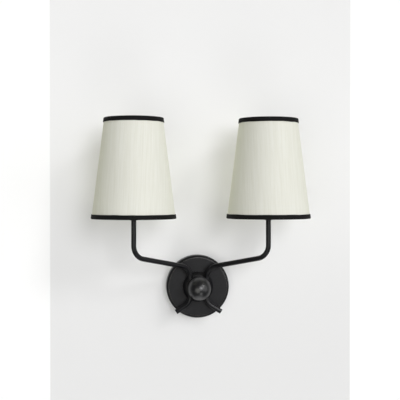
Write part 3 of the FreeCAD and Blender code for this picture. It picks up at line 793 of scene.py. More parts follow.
@dataclass(frozen=True)
class Ribs:
    """Upright finger ribs round a turned wall."""

    count: int
    depth: float
    wall: float

    def __call__(self, angle: float, radius: float, height: float) -> tuple[float, float]:
        """Give the radius and height of a point once the ribs are cut.

        Args:
            angle: The point's angle round the axis.
            radius: Its radius.
            height: Its height.

        Returns:
            The new radius and height.
        """
        near = max(0.0, 1.0 - abs(self.wall - radius) / (2 * self.depth))
        hollow = 0.5 - 0.5 * math.cos(self.count * angle)
        return radius - self.depth * near * hollow ** 3, height


def plain(angle: float, radius: float, height: float) -> tuple[float, float]:
    """Leave a turned point as it is."""
    return radius, height


def on_circle(radius: float, angle: float, height: float) -> Vector:
    """Give the point at a radius, an angle and a height about the upright axis."""
    return Vector((radius * math.cos(angle), radius * math.sin(angle), height))


@dataclass(frozen=True)
class Form:
    """A mesh in the making, in millimetres."""

    mesh: bmesh.types.BMesh = field(default_factory=bmesh.new)

    def skin(self, rows: Rows, closed_round: bool, closed_along: bool) -> list[list[bmesh.types.BMVert]]:
        """Lay faces over a grid of points.

        Args:
            rows: The points, row after row.
            closed_round: Whether each row closes on itself.
            closed_along: Whether the last row joins the first.

        Returns:
            The grid's vertices.
        """
        verts = [[self.mesh.verts.new(point) for point in row] for row in rows]
        wide, tall = len(rows[0]), len(rows)
        for j in range(tall if closed_along else tall - 1):
            for i in range(wide if closed_round else wide - 1):
                a, b = verts[j][i], verts[j][(i + 1) % wide]
                c, d = verts[(j + 1) % tall][(i + 1) % wide], verts[(j + 1) % tall][i]
                self.mesh.faces.new((a, b, c, d))
        return verts

    def turned(self, outline: Outline, segments: int, warp: Warp = plain) -> "Form":
        """Turn an outline about the upright axis.

        Args:
            outline: The outline.
            segments: How many steps make a full turn.
            warp: Moves a point by its angle, radius and height.

        Returns:
            This form.
        """
        points = outline.points()
        rows = []
        for step in range(segments):
            angle = FULL_TURN * step / segments
            row = []
            for radius, height in points:
                warped_radius, warped_height = warp(angle, radius, height)
                row.append(on_circle(warped_radius, angle, warped_height))
            rows.append(row)
        self.skin(rows, outline.closed, True)
        return self

    def bar(self, line: Sequence[Vector], radius: float, sides: int, closed: bool = False,
            bore: float = 0.0) -> "Form":
        """Run a round bar or tube along a line.

        Args:
            line: The points of its middle, in order.
            radius: Its outer radius.
            sides: How many sides it has.
            closed: Whether the line closes on itself.
            bore: The radius of its bore, or 0.

        Returns:
            This form.
        """
        frames = carried_frames(line, closed)
        angles = [FULL_TURN * step / sides for step in range(sides)]

        def rings(reach: float) -> Rows:
            """Give a ring of points about each point of the line."""
            return [[point + (first * math.cos(angle) + second * math.sin(angle)) * reach for angle in angles]
                    for point, (first, second) in zip(line, frames)]

        outer = self.skin(rings(radius), True, closed)
        inner = self.skin(rings(bore), True, closed) if bore else None
        for end in () if closed else (0, -1):
            if inner is None:
                self.mesh.faces.new(outer[end])
                continue
            for step in range(sides):
                after = (step + 1) % sides
                self.mesh.faces.new((outer[end][step], outer[end][after],
                                     inner[end][after], inner[end][step]))
        return self

    def bead(self, centre: Vector, radius: float) -> "Form":
        """Add a small round bead of weld or solder.

        Args:
            centre: Its middle.
            radius: Its radius.

        Returns:
            This form.
        """
        place = Matrix.Translation(centre)
        bmesh.ops.create_icosphere(self.mesh, subdivisions=3, radius=radius, matrix=place)
        return self

    def stored(self, sharp_degrees: float = 32.0) -> bpy.types.Mesh:
        """Store the form as a mesh in metres, smooth but for its sharp edges.

        Args:
            sharp_degrees: The bend from which an edge stays sharp.

        Returns:
            The mesh.
        """
        bmesh.ops.remove_doubles(self.mesh, verts=self.mesh.verts, dist=MERGE_WITHIN / MM)
        bmesh.ops.recalc_face_normals(self.mesh, faces=self.mesh.faces)
        bmesh.ops.scale(self.mesh, vec=(MM, MM, MM), verts=self.mesh.verts)
        mesh = bpy.data.meshes.new("form")
        self.mesh.to_mesh(mesh)
        self.mesh.free()
        mesh.shade_smooth()
        mesh.set_sharp_from_angle(angle=math.radians(sharp_degrees))
        return mesh


def carried_frames(line: Sequence[Vector], closed: bool) -> list[tuple[Vector, Vector]]:
    """Carry a pair of directions square to a line along it, with no twist.

    Args:
        line: The points of the line.
        closed: Whether it closes on itself.

    Returns:
        Two directions for each point.
    """
    count = len(line)
    alongs = []
    for index in range(count):
        before = line[index - 1] if index or closed else line[0]
        after = line[(index + 1) % count] if index < count - 1 or closed else line[-1]
        alongs.append((after - before).normalized())
    first = alongs[0].orthogonal().normalized()
    frames = []
    for index, along in enumerate(alongs):
        if index:
            first = alongs[index - 1].rotation_difference(along) @ first
        first = (first - along * first.dot(along)).normalized()
        frames.append((first, along.cross(first)))
    return frames


@dataclass(frozen=True)
class BentLine:
    """A line of straight runs with a round bend at each inner corner."""

    corners: tuple[Point, ...]
    bends: tuple[float, ...]
    step: float = 1.5

    def points(self) -> list[Vector]:
        """Give points along the line, close enough together for a smooth bend."""
        spots = [Vector(corner) for corner in self.corners]
        stations = [spots[0]]
        for before, corner, after, radius in zip(spots, spots[1:], spots[2:], self.bends):
            back, ahead = (before - corner).normalized(), (after - corner).normalized()
            half = back.angle(ahead) / 2
            middle = corner + (back + ahead).normalized() * (radius / math.sin(half))
            start = corner + back * (radius / math.tan(half)) - middle
            end = corner + ahead * (radius / math.tan(half)) - middle
            turn = start.rotation_difference(end)
            count = max(2, math.ceil(radius * turn.angle / self.step))
            for index in range(count + 1):
                part = turn.copy()
                part.angle = turn.angle * index / count
                stations.append(middle + part @ start)
        stations.append(spots[-1])
        filled = [stations[0]]
        for start, end in zip(stations, stations[1:]):
            count = max(1, math.ceil((end - start).length / self.step))
            filled += [start.lerp(end, index / count) for index in range(1, count + 1)]
        return filled


# ------------------------------------------------------------------------------ the workshop
@dataclass
class Workshop:
    """Makes pieces, fits them to the frame, gives nodes their finish and reports each one."""

    finishes: Finishes = field(default_factory=Finishes)
    made: int = 0

    def piece(self, name: str, mesh: bpy.types.Mesh, finish: Finish, slot: str, stands_for: Sequence[str],
              body: str, origin: Sequence[float] = (0.0, 0.0, 0.0)) -> bpy.types.Object:
        """Make a piece that rides on a body of the frame.

        Args:
            name: The piece's name.
            mesh: Its mesh.
            finish: Its finish.
            slot: The record's material slot; not used.
            stands_for: The nodes that it is shown in place of.
            body: The body that it moves with.
            origin: Where its mesh's origin lies, in millimetres.

        Returns:
            The piece.
        """
        mesh.name = name
        piece = bpy.data.objects.new(name, mesh)
        bpy.context.scene.collection.objects.link(piece)
        piece.location = Vector(origin) * MM
        mesh.materials.append(finish.material())
        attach(piece, body)
        if stands_for:
            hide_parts(*stands_for)
        self.made += 1
        LOG.info("made %s: %d faces, on %s, in place of %s", name, len(mesh.polygons), body,
                 ", ".join(stands_for) or "nothing")
        return piece

    def dress(self, nodes: Iterable[str], finish: Finish) -> None:
        """Give nodes of the frame a finish.

        Args:
            nodes: The nodes' names.
            finish: Their finish.
        """
        for name in nodes:
            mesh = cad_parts[name].data
            mesh.materials.clear()
            mesh.materials.append(finish.material())
            LOG.info("dressed %s in %s", name, finish.name)


@dataclass
class SidePart:
    """A sub-assembly of one side, whose own names leave the side out."""

    shop: Workshop
    side: Side

    @property
    def finishes(self) -> Finishes:
        """Give the lamp's finishes."""
        return self.shop.finishes

    def put(self, name: str, mesh: bpy.types.Mesh, finish: Finish, slot: str, node: str = "",
            body: str = "") -> bpy.types.Object:
        """Make a piece on this side's axis.

        Args:
            name: The piece's name.
            mesh: Its mesh.
            finish: Its finish.
            slot: The record's material slot.
            node: The node that it is shown in place of, if there is one.
            body: This side's body that it moves with, or nothing if it stays with the lamp's frame.

        Returns:
            The piece.
        """
        return self.shop.piece(self.side.node(name), mesh, finish, slot,
                               [self.side.node(node)] if node else [],
                               self.side.node(body) if body else FRAME_BODY, self.side.axis)

    def dress(self, pieces: Iterable[str], finish: Finish) -> None:
        """Give some of this side's nodes a finish."""
        self.shop.dress([self.side.node(piece) for piece in pieces], finish)


# ------------------------------------------------------------------------------ wall mount
@dataclass
class WallMount:
    """The plate, the boss and all that is hidden behind them."""

    shop: Workshop
    rod_radius: float = 5.0
    rod_bore: float = 3.4
    rod_pitch: float = 1.0
    rod_thread_depth: float = 0.34
    rod_chamfer: float = 0.5

    def build(self) -> None:
        """Dress the plate, bracket and terminals, and cut the rod's thread."""
        finishes = self.shop.finishes
        self.shop.dress(["backplate", "boss"], finishes.plate)
        self.shop.dress(["wall_bracket", "earth_washer", "rod_nuts", "terminal_screws", "block_screw",
                         "locating_pins", "hub_screws"], finishes.steel)
        self.shop.dress(["earth_screw"], finishes.brass)
        self.shop.dress(["terminal_block"], finishes.terminals)
        self.shop.dress(["wire_bushes"], finishes.holder)
        self.rod()

    def rod(self) -> None:
        """Make the hollow rod with its thread."""
        low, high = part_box("threaded_rod")
        back, front = -high.y / MM, -low.y / MM
        cut = self.rod_chamfer
        outline = Outline((Corner(self.rod_bore, back), Corner(self.rod_radius - cut, back),
                           Corner(self.rod_radius, back + cut), Corner(self.rod_radius, front - cut),
                           Corner(self.rod_radius - cut, front), Corner(self.rod_bore, front)),
                          longest=self.rod_pitch / 6)
        thread = Thread(self.rod_pitch, self.rod_thread_depth, back + cut, front - cut, self.rod_radius)
        mesh = Form().turned(outline, 40, thread).stored(sharp_degrees=50.0)
        mesh.transform(Matrix.Rotation(math.pi / 2, 4, "X"))
        self.shop.piece("threaded_rod_cut", mesh, self.shop.finishes.steel, "zinc_steel",
                        ["threaded_rod"], FRAME_BODY)


@dataclass
class HubAndBall:
    """The two halves of the hub and the ball that is screwed on in front of them."""

    shop: Workshop

    def build(self) -> None:
        """Dress the hub, the washer and the ball."""
        finishes = self.shop.finishes
        self.shop.dress(["hub_back", "hub_front"], finishes.plate)
        self.shop.dress(["finial_ball"], finishes.ball)
        self.shop.dress(["finial_washer"], finishes.fibre)


# ------------------------------------------------------------------------------ arms
@dataclass
class Arm(SidePart):
    """One bent tube with its plug, its flex and the cup at its upper end."""

    radius: float = 4.0
    bore: float = 3.0
    hub_offset: float = 13.3
    hub_depth: float = 35.0
    top: float = 121.0
    elbow: float = 54.5
    inner_bend: float = 33.0
    lower_bend: float = -24.5
    tail: tuple[float, float] = (37.0, -39.7)
    bends: tuple[float, ...] = (22.0, 22.0, 19.0)
    sides: int = 40
    plug_length: float = 6.0
    plug_dome: float = 0.5
    plug_play: float = 0.05

    def corners(self) -> tuple[Point, ...]:
        """Give the corners of the tube's middle line, from the holder to the tail."""
        x, y, _ = self.side.axis
        hub_x, hub_y = self.side.sign * self.hub_offset, -self.hub_depth
        tail_x, tail_z = self.side.sign * self.tail[0], self.tail[1]
        return ((x, y, self.top), (x, y, self.elbow), (hub_x, hub_y, self.inner_bend),
                (hub_x, hub_y, self.lower_bend), (tail_x, hub_y, tail_z))

    def tube(self) -> None:
        """Make the bent tube."""
        line = BentLine(self.corners(), self.bends).points()
        mesh = Form().bar(line, self.radius, self.sides, bore=self.bore).stored()
        self.shop.piece(self.side.node("bent_tube"), mesh, self.finishes.tube, "blackened_metal",
                        [self.side.node("arm")], FRAME_BODY)

    def plug(self) -> None:
        """Make the plug of the tail, with a low dome on its end."""
        before, end = (Vector(corner) for corner in self.corners()[-2:])
        radius = self.bore - self.plug_play
        outline = Outline((Corner(0, -self.plug_length), Corner(radius, -self.plug_length),
                           Corner(radius, -self.plug_dome, self.plug_dome), Corner(0, 0)), closed=False)
        mesh = Form().turned(outline, self.sides).stored()
        mesh.transform(Vector((0, 0, 1)).rotation_difference(end - before).to_matrix().to_4x4())
        self.shop.piece(self.side.node("domed_plug"), mesh, self.finishes.tube, "blackened_metal",
                        [self.side.node("tail_plug")], FRAME_BODY, end)

    def build(self) -> None:
        """Make the tube and its plug, and dress the flex and the cup."""
        self.tube()
        self.plug()
        self.dress(["flex"], self.finishes.sleeve)
        self.dress(["cup"], self.finishes.tube)


# ------------------------------------------------------------------------------ lamp holders
@dataclass
class LampHolder(SidePart):
    """A lamp holder with its threaded skirt, its two ribbed rings and its bulb."""

    thread_pitch: float = 2.5
    thread_depth: float = 0.55
    skirt: float = 14.0
    skirt_foot: float = 3.0
    waist: float = 12.4
    mouth: float = 7.75
    pocket: float = 6.6
    floor: float = 2.0
    wire_hole: float = 2.85
    ring: float = 17.5
    ring_play: float = 0.05
    ring_crown: float = 0.35
    ring_step: float = 1.1
    ring_lean: float = 0.2
    ring_ribs: int = 44
    rib_depth: float = 0.45
    cap: float = 7.0
    cap_foot: float = 2.5
    cap_bevel: float = 0.9
    cap_lip: float = 2.2
    cap_neck: float = 0.5
    cap_pitch: float = 2.82
    cap_thread_depth: float = 0.62
    solder: float = 0.55
    glass_foot: float = 4.0
    glass_play: float = 0.02

    def body(self) -> None:
        """Make the holder's body: waist, threaded skirt and rounded mouth."""
        bottom, top = self.side.heights("holder_body")
        shell_bottom = self.side.heights("screw_shell")[0]
        skirt_bottom, floor = bottom + self.skirt_foot, bottom + self.floor
        outline = Outline(
            (Corner(self.wire_hole, bottom), Corner(self.waist, bottom, 0.4),
             Corner(self.waist, skirt_bottom), Corner(self.skirt, skirt_bottom, 0.6),
             Corner(self.skirt, top, 1.0), Corner(self.mouth, top, 0.8), Corner(self.mouth, shell_bottom),
             Corner(self.pocket, shell_bottom), Corner(self.pocket, floor), Corner(self.wire_hole, floor)),
            longest=self.thread_pitch / 8)
        thread = Thread(self.thread_pitch, self.thread_depth, skirt_bottom + 0.6, top - 1.2, self.skirt)
        mesh = Form().turned(outline, 96, thread).stored(sharp_degrees=40.0)
        self.put("threaded_holder", mesh, self.finishes.holder, "holder_plastic", "holder_body")

    def ribbed_ring(self, piece: str, body: str = "") -> None:
        """Make one shade ring with finger ribs round it.

        Args:
            piece: The ring's node.
            body: The body that it turns with, if it turns.
        """
        bottom, top = self.side.heights(piece)
        crown = top - self.ring_crown * (top - bottom)
        inner, shoulder = self.skirt + self.ring_play, self.ring - self.ring_step
        outline = Outline(
            (Corner(inner, bottom, 0.2), Corner(self.ring, bottom, 0.5), Corner(self.ring, crown, 0.3),
             Corner(shoulder, crown, 0.2), Corner(shoulder - self.ring_lean, top, 0.4),
             Corner(inner, top, 0.3)), arc_steps=4)
        ribs = Ribs(self.ring_ribs, self.rib_depth, self.ring)
        mesh = Form().turned(outline, self.ring_ribs * 8, ribs).stored(sharp_degrees=50.0)
        name = piece.replace("ring", "ribbed_ring")
        self.put(name, mesh, self.finishes.holder, "holder_plastic", piece, body)

    def bulb_cap(self) -> None:
        """Make the bulb's screw cap, with a bead of solder on it."""
        bottom, top = self.side.heights("bulb_cap")
        shoulder = bottom + self.cap_foot
        low, high, neck = shoulder + self.cap_bevel, top - self.cap_lip, self.cap - self.cap_neck
        outline = Outline(
            (Corner(0, shoulder + 0.2), Corner(self.cap - self.cap_bevel, shoulder + 0.2),
             Corner(self.cap, low, 0.5), Corner(self.cap, high), Corner(neck, high + 0.3, 0.4),
             Corner(neck, top), Corner(0, top)), closed=False, longest=self.cap_pitch / 10)
        thread = Thread(self.cap_pitch, self.cap_thread_depth, low, high, self.cap)
        form = Form().turned(outline, 72, thread)
        form.bead(Vector((neck - 0.25, 0, top - 1.2)), self.solder)
        mesh = form.stored(sharp_degrees=60.0)
        self.put("threaded_cap", mesh, self.finishes.nickel, "nickel_cap", "bulb_cap", "bulb")

    def cap_insulator(self) -> None:
        """Make the black glass between the bulb's button and its screw cap."""
        bottom = self.side.heights("bulb_cap")[0]
        foot, shoulder, rim = bottom + self.glass_play, bottom + self.cap_foot, self.cap - 1.0
        outline = Outline((Corner(0, foot), Corner(self.glass_foot, foot, 0.5), Corner(rim, shoulder, 0.3),
                           Corner(rim, shoulder + 0.3), Corner(0, shoulder + 0.3)), closed=False)
        mesh = Form().turned(outline, 64).stored()
        self.put("cap_insulator", mesh, self.finishes.insulator, "holder_plastic", body="bulb")

    def build(self) -> None:
        """Make the holder's pieces and dress the nodes that stay."""
        self.body()
        self.ribbed_ring("lower_ring")
        self.ribbed_ring("upper_ring", "ring")
        self.bulb_cap()
        self.cap_insulator()
        self.dress(["holder_base"], self.finishes.holder)
        self.dress(["screw_shell", "centre_contact", "bulb_button"], self.finishes.brass)
        self.dress(["ring_washer"], self.finishes.fibre)
        self.dress(["bulb_glass"], self.finishes.glass)


# ------------------------------------------------------------------------------ shades
@dataclass(frozen=True)
class ShadeCone:
    """The cone through the outer edges of a shade's two ribbons."""

    bottom: float = 115.0
    height: float = 158.0
    bottom_radius: float = 67.0
    top_radius: float = 47.0

    @property
    def top(self) -> float:
        """Give the level of the upper edge."""
        return self.bottom + self.height

    def edge(self, edge: Edge) -> float:
        """Give the level of one edge."""
        return self.bottom if edge is Edge.BOTTOM else self.top

    @property
    def taper(self) -> float:
        """Give how much the radius falls for each step up."""
        return (self.bottom_radius - self.top_radius) / self.height

    @property
    def slant(self) -> float:
        """Give how much longer a way along the slope is than its height."""
        return math.hypot(1.0, self.taper)

    def radius(self, level: float) -> float:
        """Give the cone's radius at a level."""
        return self.bottom_radius - self.taper * (level - self.bottom)

    def step(self, thickness: float) -> float:
        """Give the step in radius, along one level, through a skin of a thickness."""
        return thickness * self.slant


@dataclass(frozen=True)
class RolledCloth:
    """A sheet of cloth rolled into a cone, with its end lapped over its start."""

    CUT: ClassVar[str] = "cut"

    cone: ShadeCone
    inset: float
    thickness: float
    low: float
    high: float
    seam_angle: float
    seed: float
    lap: float = 9.0
    slack: float = 0.16
    held_near_edge: float = 14.0
    waves_round: float = 2.1
    waves_up: float = 0.008
    steps_round: int = 300
    steps_up: int = 44

    @property
    def lap_turn(self) -> float:
        """Give the angle of the lap."""
        return self.lap / self.cone.radius(self.low)

    @property
    def sine(self) -> float:
        """Give the sine of the cone's half angle."""
        return self.cone.taper / self.cone.slant

    def from_tip(self, level: float) -> float:
        """Give how far the cloth's outer face lies from the cone's tip, along the slope."""
        return (self.cone.radius(level) - self.cone.step(self.inset)) / self.sine

    def flat_place(self, turn: float, level: float) -> Vector:
        """Give where a point of the cloth lay in the flat cut.

        Args:
            turn: The angle from the start of the cloth.
            level: The point's level.

        Returns:
            The place in the cut, in metres.
        """
        from_tip = self.from_tip(level)
        swing = (turn - FULL_TURN / 2) * self.sine
        return Vector((from_tip * math.sin(swing), -from_tip * math.cos(swing), 0.0)) * MM

    def flat_size(self) -> tuple[float, float, float]:
        """Give the width, length and area of the cut, in metres and square metres."""
        whole = FULL_TURN + self.lap_turn
        far, near = self.from_tip(self.low), self.from_tip(self.high)
        half = whole * self.sine / 2
        area = half * (far * far - near * near)
        return 2 * far * math.sin(half) * MM, (far - near * math.cos(half)) * MM, area * MM * MM

    def radius(self, turn: float, level: float) -> float:
        """Give the radius of the cloth's inner face.

        Args:
            turn: The angle from the start of the cloth.
            level: The level.

        Returns:
            The radius.
        """
        base = self.cone.radius(level) - self.cone.step(self.inset + self.thickness)
        over = (turn - (FULL_TURN - 0.5 * self.lap_turn)) / (0.5 * self.lap_turn)
        lifted = self.cone.step(self.thickness) * min(1.0, max(0.0, over))
        loose = min(1.0, (level - self.low) / self.held_near_edge, (self.high - level) / self.held_near_edge)
        around = on_circle(self.waves_round, turn, level * self.waves_up + self.seed)
        wave = self.slack * max(0.0, loose) * (noise.noise(around) + 0.5 * noise.noise(around * 2.7))
        return base + lifted + wave

    def mesh(self) -> bpy.types.Mesh:
        """Build the cloth as a thin closed sheet that knows its flat cut."""
        whole = FULL_TURN + self.lap_turn
        turns = [whole * step / self.steps_round for step in range(self.steps_round + 1)]
        reach = self.high - self.low
        levels = [self.low + reach * step / self.steps_up for step in range(self.steps_up + 1)]
        cuts = [self.flat_place(turn, level) for level in levels for turn in turns] * 2
        form = Form()
        outer, inner = (form.skin([[on_circle(self.radius(turn, level) + self.cone.step(out),
                                              turn + self.seam_angle, level) for turn in turns]
                                   for level in levels], False, False) for out in (self.thickness, 0.0))
        rim = [(outer[0], inner[0]), (outer[-1], inner[-1]),
               ([row[0] for row in outer], [row[0] for row in inner]),
               ([row[-1] for row in outer], [row[-1] for row in inner])]
        for first, second in rim:
            for index in range(len(first) - 1):
                form.mesh.faces.new((first[index], first[index + 1], second[index + 1], second[index]))
        mesh = form.stored(sharp_degrees=60.0)
        attribute = mesh.attributes.new(self.CUT, "FLOAT_VECTOR", "POINT")
        attribute.data.foreach_set("vector", [value for cut in cuts for value in cut])
        return mesh


@dataclass(frozen=True)
class RibbonFold:
    """The way that a ribbon leaves a clean fold: its waver and the lap where its ends meet."""

    edge: float
    into: int
    height: float
    lap_angle: float
    lap_turn: float
    rise: float
    waver: float
    seed: float
    waves_round: float = 3.0

    def __call__(self, angle: float, radius: float, height: float) -> tuple[float, float]:
        """Give the radius and height of a point of the laid ribbon.

        Args:
            angle: The point's angle round the shade.
            radius: Its radius.
            height: Its height.

        Returns:
            The new radius and height.
        """
        from_edge = (height - self.edge) * self.into / self.height
        around = on_circle(self.waves_round, angle, self.seed)
        new_height = height + self.into * self.waver * max(0.0, from_edge) * noise.noise(around)
        past_lap = (angle - self.lap_angle) % FULL_TURN - self.lap_turn
        on_lap = min(1.0, max(0.0, 1.0 - past_lap / (2 * self.lap_turn)))
        outside = 1.0 if from_edge > -0.05 else 0.0
        return radius + self.rise * on_lap * outside, new_height


@dataclass
class Shade(SidePart):
    """A tapered shade: lining, cloth, two ribbons, two wire rings and the fitting on its spokes."""

    cone: ShadeCone = field(default_factory=ShadeCone)
    ribbon_height: float = 7.2
    ribbon_thickness: float = 1.1
    ribbon_inside: float = 5.0
    ribbon_fold: float = 1.5
    ribbon_lap: float = 9.0
    bottom_lap_at: float = 75.0
    top_lap_at: float = -92.0
    cloth_thickness: float = 0.6
    lining_thickness: float = 0.5
    glue: float = 0.05
    wire: float = 1.3
    wire_steps: int = 180
    spoke: float = 1.2
    spoke_steps: int = 24
    bar_sides: int = 18
    weld: float = 1.45
    fitting_inner: float = 14.5
    fitting_outer: float = 20.0
    first_spoke: float = 90.0
    spoke_count: int = 3

    @property
    def outer_inset(self) -> float:
        """Give how far the cloth's outer face lies inside the cone, and its ends inside the edges."""
        return self.ribbon_thickness + self.glue

    @property
    def lining_inset(self) -> float:
        """Give how far the lining's outer face lies inside the cone."""
        return self.outer_inset + self.cloth_thickness + self.glue

    @property
    def inner_inset(self) -> float:
        """Give how far the lining's inner face lies inside the cone."""
        return self.lining_inset + self.lining_thickness

    @property
    def span(self) -> tuple[float, float]:
        """Give the levels between which the cloth and the lining reach."""
        return self.cone.bottom + self.outer_inset, self.cone.top - self.outer_inset

    def cloth(self, extras: list[bpy.types.Object]) -> None:
        """Make the cloth, rolled and bonded to the lining.

        Args:
            extras: The ribbons that go with it; not used.
        """
        low, high = self.span
        rolled = RolledCloth(self.cone, inset=self.outer_inset, thickness=self.cloth_thickness,
                             low=low, high=high, seam_angle=math.radians(90 + 20 * self.side.sign),
                             seed=3.0 + self.side.sign)
        piece = self.put("cloth", rolled.mesh(), self.finishes.cloth, "cream_fabric", "shade_fabric", "shade")
        width, length, area = rolled.flat_size()
        self.side.node("lining")

    def lining(self) -> None:
        """Make the stiff lining behind the cloth."""
        (low, high), outer, inner = self.span, self.lining_inset, self.inner_inset
        corners = tuple(Corner(self.cone.radius(level) - self.cone.step(inset), level)
                        for level, inset in ((low, outer), (high, outer), (high, inner), (low, inner)))
        mesh = Form().turned(Outline(corners, longest=8.0), 192).stored()
        self.put("lining", mesh, self.finishes.lining, "liner_plastic", "shade_liner", "shade")

    def ribbon(self, edge: Edge) -> bpy.types.Object:
        """Make the ribbon folded over one edge of the shade.

        Args:
            edge: Which edge.

        Returns:
            The ribbon.
        """
        into, start = edge.value, self.cone.edge(edge)
        fold = start + into * self.ribbon_thickness
        outer_end, inner_end = start + into * self.ribbon_height, start + into * self.ribbon_inside
        skin = self.cone.step(self.ribbon_thickness)
        inner_face = self.cone.step(self.inner_inset + 2 * (self.wire + self.glue))
        inner_skin = inner_face + skin / 2
        at = self.cone.radius
        outline = Outline(
            (Corner(at(start), start, self.ribbon_fold), Corner(at(outer_end), outer_end, 0.45),
             Corner(at(outer_end) - skin, outer_end, 0.15), Corner(at(fold) - skin, fold, 0.3),
             Corner(at(fold) - inner_face, fold, 0.3), Corner(at(inner_end) - inner_face, inner_end, 0.1),
             Corner(at(inner_end) - inner_skin, inner_end, 0.2), Corner(at(start) - inner_skin, start, 0.9)),
            longest=2.0)
        warp = RibbonFold(edge=start, into=into, height=self.ribbon_height,
                          lap_angle=math.radians(self.top_lap_at if edge is Edge.TOP else self.bottom_lap_at),
                          lap_turn=math.radians(self.ribbon_lap), rise=0.25, waver=0.5,
                          seed=self.side.sign * 4.0 + into)
        mesh = Form().turned(outline, 288, warp).stored(sharp_degrees=50.0)
        return self.put(f"{edge.word}_ribbon", mesh, self.finishes.ribbon, "black_trim",
                        f"{edge.word}_trim", "shade")

    def wire_middle(self, level: float) -> float:
        """Give the radius of a wire ring's middle line at a level."""
        return self.cone.radius(level) - self.cone.step(self.inner_inset + self.wire + self.glue)

    def wire_level(self, edge: Edge) -> float:
        """Give the level of the wire ring at an edge."""
        return self.cone.edge(edge) + edge.value * (self.outer_inset + self.wire)

    def wire_ring(self, edge: Edge) -> None:
        """Make the wire ring at one edge."""
        level = self.wire_level(edge)
        radius = self.wire_middle(level)
        line = [on_circle(radius, FULL_TURN * step / self.wire_steps, level)
                for step in range(self.wire_steps)]
        mesh = Form().bar(line, self.wire, self.bar_sides, closed=True).stored()
        self.put(f"{edge.word}_wire_ring", mesh, self.finishes.wire, "white_wire",
                 f"{edge.word}_wire", "shade")

    def fitting(self) -> None:
        """Make the fitting ring between the two shade rings, its spokes and their welds."""
        bottom, top = self.side.heights("lower_ring")[1], self.side.heights("ring_washer")[0]
        outline = Outline((Corner(self.fitting_inner, bottom, 0.3), Corner(self.fitting_outer, bottom, 0.5),
                           Corner(self.fitting_outer, top, 0.5), Corner(self.fitting_inner, top, 0.3)))
        form = Form().turned(outline, 128)
        level = self.wire_level(Edge.BOTTOM)
        for n in range(self.spoke_count):
            angle = math.radians(self.first_spoke + 360.0 * n / self.spoke_count)
            start = on_circle(self.fitting_outer - self.spoke, angle, (bottom + top) / 2)
            end = on_circle(self.wire_middle(level), angle, level)
            along = (end - start).normalized()
            end -= along * (self.wire + self.glue)
            line = [start.lerp(end, step / self.spoke_steps) for step in range(self.spoke_steps + 1)]
            form.bar(line, self.spoke, self.bar_sides)
            form.bead(start + along * self.spoke, self.weld)
        self.put("fitting_and_spokes", form.stored(), self.finishes.wire, "white_wire", "fitter", "shade")

    def build(self) -> None:
        """Make every piece of the shade."""
        self.lining()
        ribbons = [self.ribbon(edge) for edge in Edge]
        self.cloth(ribbons)
        for edge in Edge:
            self.wire_ring(edge)
        self.fitting()


# ------------------------------------------------------------------------------ studio
@dataclass(frozen=True)
class FarLamp:
    """A soft lamp far off: its direction from the lamp on the wall, its breadth, strength and tint.

    The azimuth is 0 straight in front and grows to the right; the angles are in degrees.
    """

    DISTANCE: ClassVar[float] = 3.0

    name: str
    azimuth: float
    elevation: float
    breadth: float
    strength: float
    tint: Colour = (1.0, 1.0, 1.0)

    def light(self) -> None:
        """Put the lamp in the scene."""
        data = bpy.data.lights.new(self.name, "SUN")
        data.energy, data.angle, data.color = self.strength, math.radians(self.breadth), self.tint
        lamp = bpy.data.objects.new(self.name, data)
        bpy.context.scene.collection.objects.link(lamp)
        turn, rise = math.radians(self.azimuth), math.radians(self.elevation)
        toward = on_circle(math.cos(rise), turn - math.pi / 2, math.sin(rise))
        lamp.rotation_euler = toward.to_track_quat("Z", "Y").to_euler()
        lamp.location = toward * self.DISTANCE


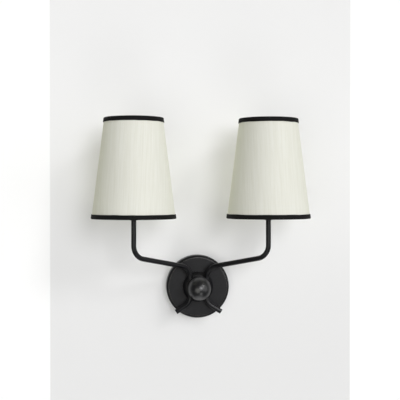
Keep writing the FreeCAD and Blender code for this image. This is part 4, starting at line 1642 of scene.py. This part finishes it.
@dataclass(frozen=True)
class Studio:
    """The pale wall and floor, the soft light and the camera."""

    finish: Finish
    wall_gap: float = 0.0003
    wall_top: float = 1.6
    floor_level: float = -0.75
    cove_radius: float = 0.35
    cove_steps: int = 16
    half_width: float = 2.2
    floor_reach: float = 2.6
    camera_place: Point = (-0.1160, -1.4810, 0.1576)
    camera_yaw: float = 4.68
    camera_pitch: float = 0.545
    lens: float = 79.6
    sensor: float = 36.0
    behind_band: tuple[float, float] = (-0.06, 0.30)
    floor_band: tuple[float, float] = (-0.99, -0.84)
    room: Colour = (0.080, 0.080, 0.080)
    behind: Colour = (1.080, 1.090, 0.900)
    mirrored: Colour = (0.580, 0.580, 0.580)
    floor: Colour = (1.150, 1.150, 1.150)
    shown: Colour = (0.930, 0.930, 0.930)
    lamps: tuple[FarLamp, ...] = (
        FarLamp("main", 14.5, 10.5, 26.0, 1.36, (0.992, 0.992, 1.020)),
        FarLamp("fill", -22.0, -11.0, 44.0, 0.84, (1.000, 0.995, 0.920)),
        FarLamp("right", 56.0, 6.0, 50.0, 0.62),
        FarLamp("glint", 39.0, 32.0, 12.0, 0.58),
        FarLamp("low", 16.0, -46.0, 20.0, 0.28))

    def backdrop(self) -> None:
        """Make the wall that turns into a floor out of sight."""
        line = [(self.wall_gap, self.wall_top)]
        for step in range(self.cove_steps + 1):
            angle = math.radians(90 * step / self.cove_steps)
            line.append((self.wall_gap - self.cove_radius * (1 - math.cos(angle)),
                         self.floor_level + self.cove_radius * (1 - math.sin(angle))))
        line.append((-self.floor_reach, self.floor_level))
        form = Form()
        rows = [[Vector((x, y, z)) / MM for y, z in line] for x in (-self.half_width, self.half_width)]
        form.skin(rows, False, False)
        mesh = form.stored()
        mesh.name = "pale_backdrop"
        mesh.materials.append(self.finish.material())
        if mesh.polygons[0].normal.y > 0:
            mesh.flip_normals()
        wall = bpy.data.objects.new("pale_backdrop", mesh)
        bpy.context.scene.collection.objects.link(wall)
        for ray in ("diffuse", "glossy", "transmission", "shadow"):
            setattr(wall, f"visible_{ray}", False)

    def world(self) -> None:
        """Give the room an even light, and the light that wall and shades throw back from behind."""
        world = bpy.data.worlds.new("soft_room")
        world.use_nodes = True
        bpy.context.scene.world = world
        graph = Graph(world.node_tree)
        toward = graph.parts(graph.add("ShaderNodeTexCoord").outputs["Generated"])
        path = by_name(graph.add("ShaderNodeLightPath").outputs)
        back = graph.mix(path["Is Diffuse Ray"], self.mirrored, self.behind)
        light = graph.mix(graph.spread(toward["Y"], *self.behind_band), self.room, back)
        below = graph.spread(toward["Z"], *self.floor_band, 1.0, 0.0)
        floored = graph.mix(graph.math("MULTIPLY", below, path["Is Glossy Ray"]), light, self.floor)
        seen = graph.mix(path["Is Camera Ray"], floored, self.shown)
        graph.feed(world.node_tree.nodes["Background"].inputs["Color"], seen)

    def camera(self) -> None:
        """Set the camera where the photograph was taken from."""
        data = bpy.data.cameras.new("camera")
        data.lens, data.sensor_width = self.lens, self.sensor
        camera = bpy.data.objects.new("camera", data)
        bpy.context.scene.collection.objects.link(camera)
        camera.location = self.camera_place
        camera.rotation_euler = (math.radians(90 - self.camera_pitch), 0.0, math.radians(-self.camera_yaw))
        bpy.context.scene.camera = camera

    def build(self) -> None:
        """Set the camera, the wall, the room's light and the lamps."""
        self.camera()
        self.backdrop()
        self.world()
        for lamp in self.lamps:
            lamp.light()
        bpy.context.scene.view_settings.view_transform = "Standard"
        LOG.info("set the wall, the camera and %d lamps", len(self.lamps))


def main() -> None:
    """Dress the whole lamp and set the studio round it."""
    logging.basicConfig(level=logging.INFO, format="%(name)s: %(message)s")
    shop = Workshop()
    Studio(shop.finishes.wall).build()
    WallMount(shop).build()
    HubAndBall(shop).build()
    for side in Side:
        Arm(shop, side).build()
        LampHolder(shop, side).build()
        Shade(shop, side).build()
    LOG.info("made %d pieces", shop.made)


if __name__ == "__main__":
    main()
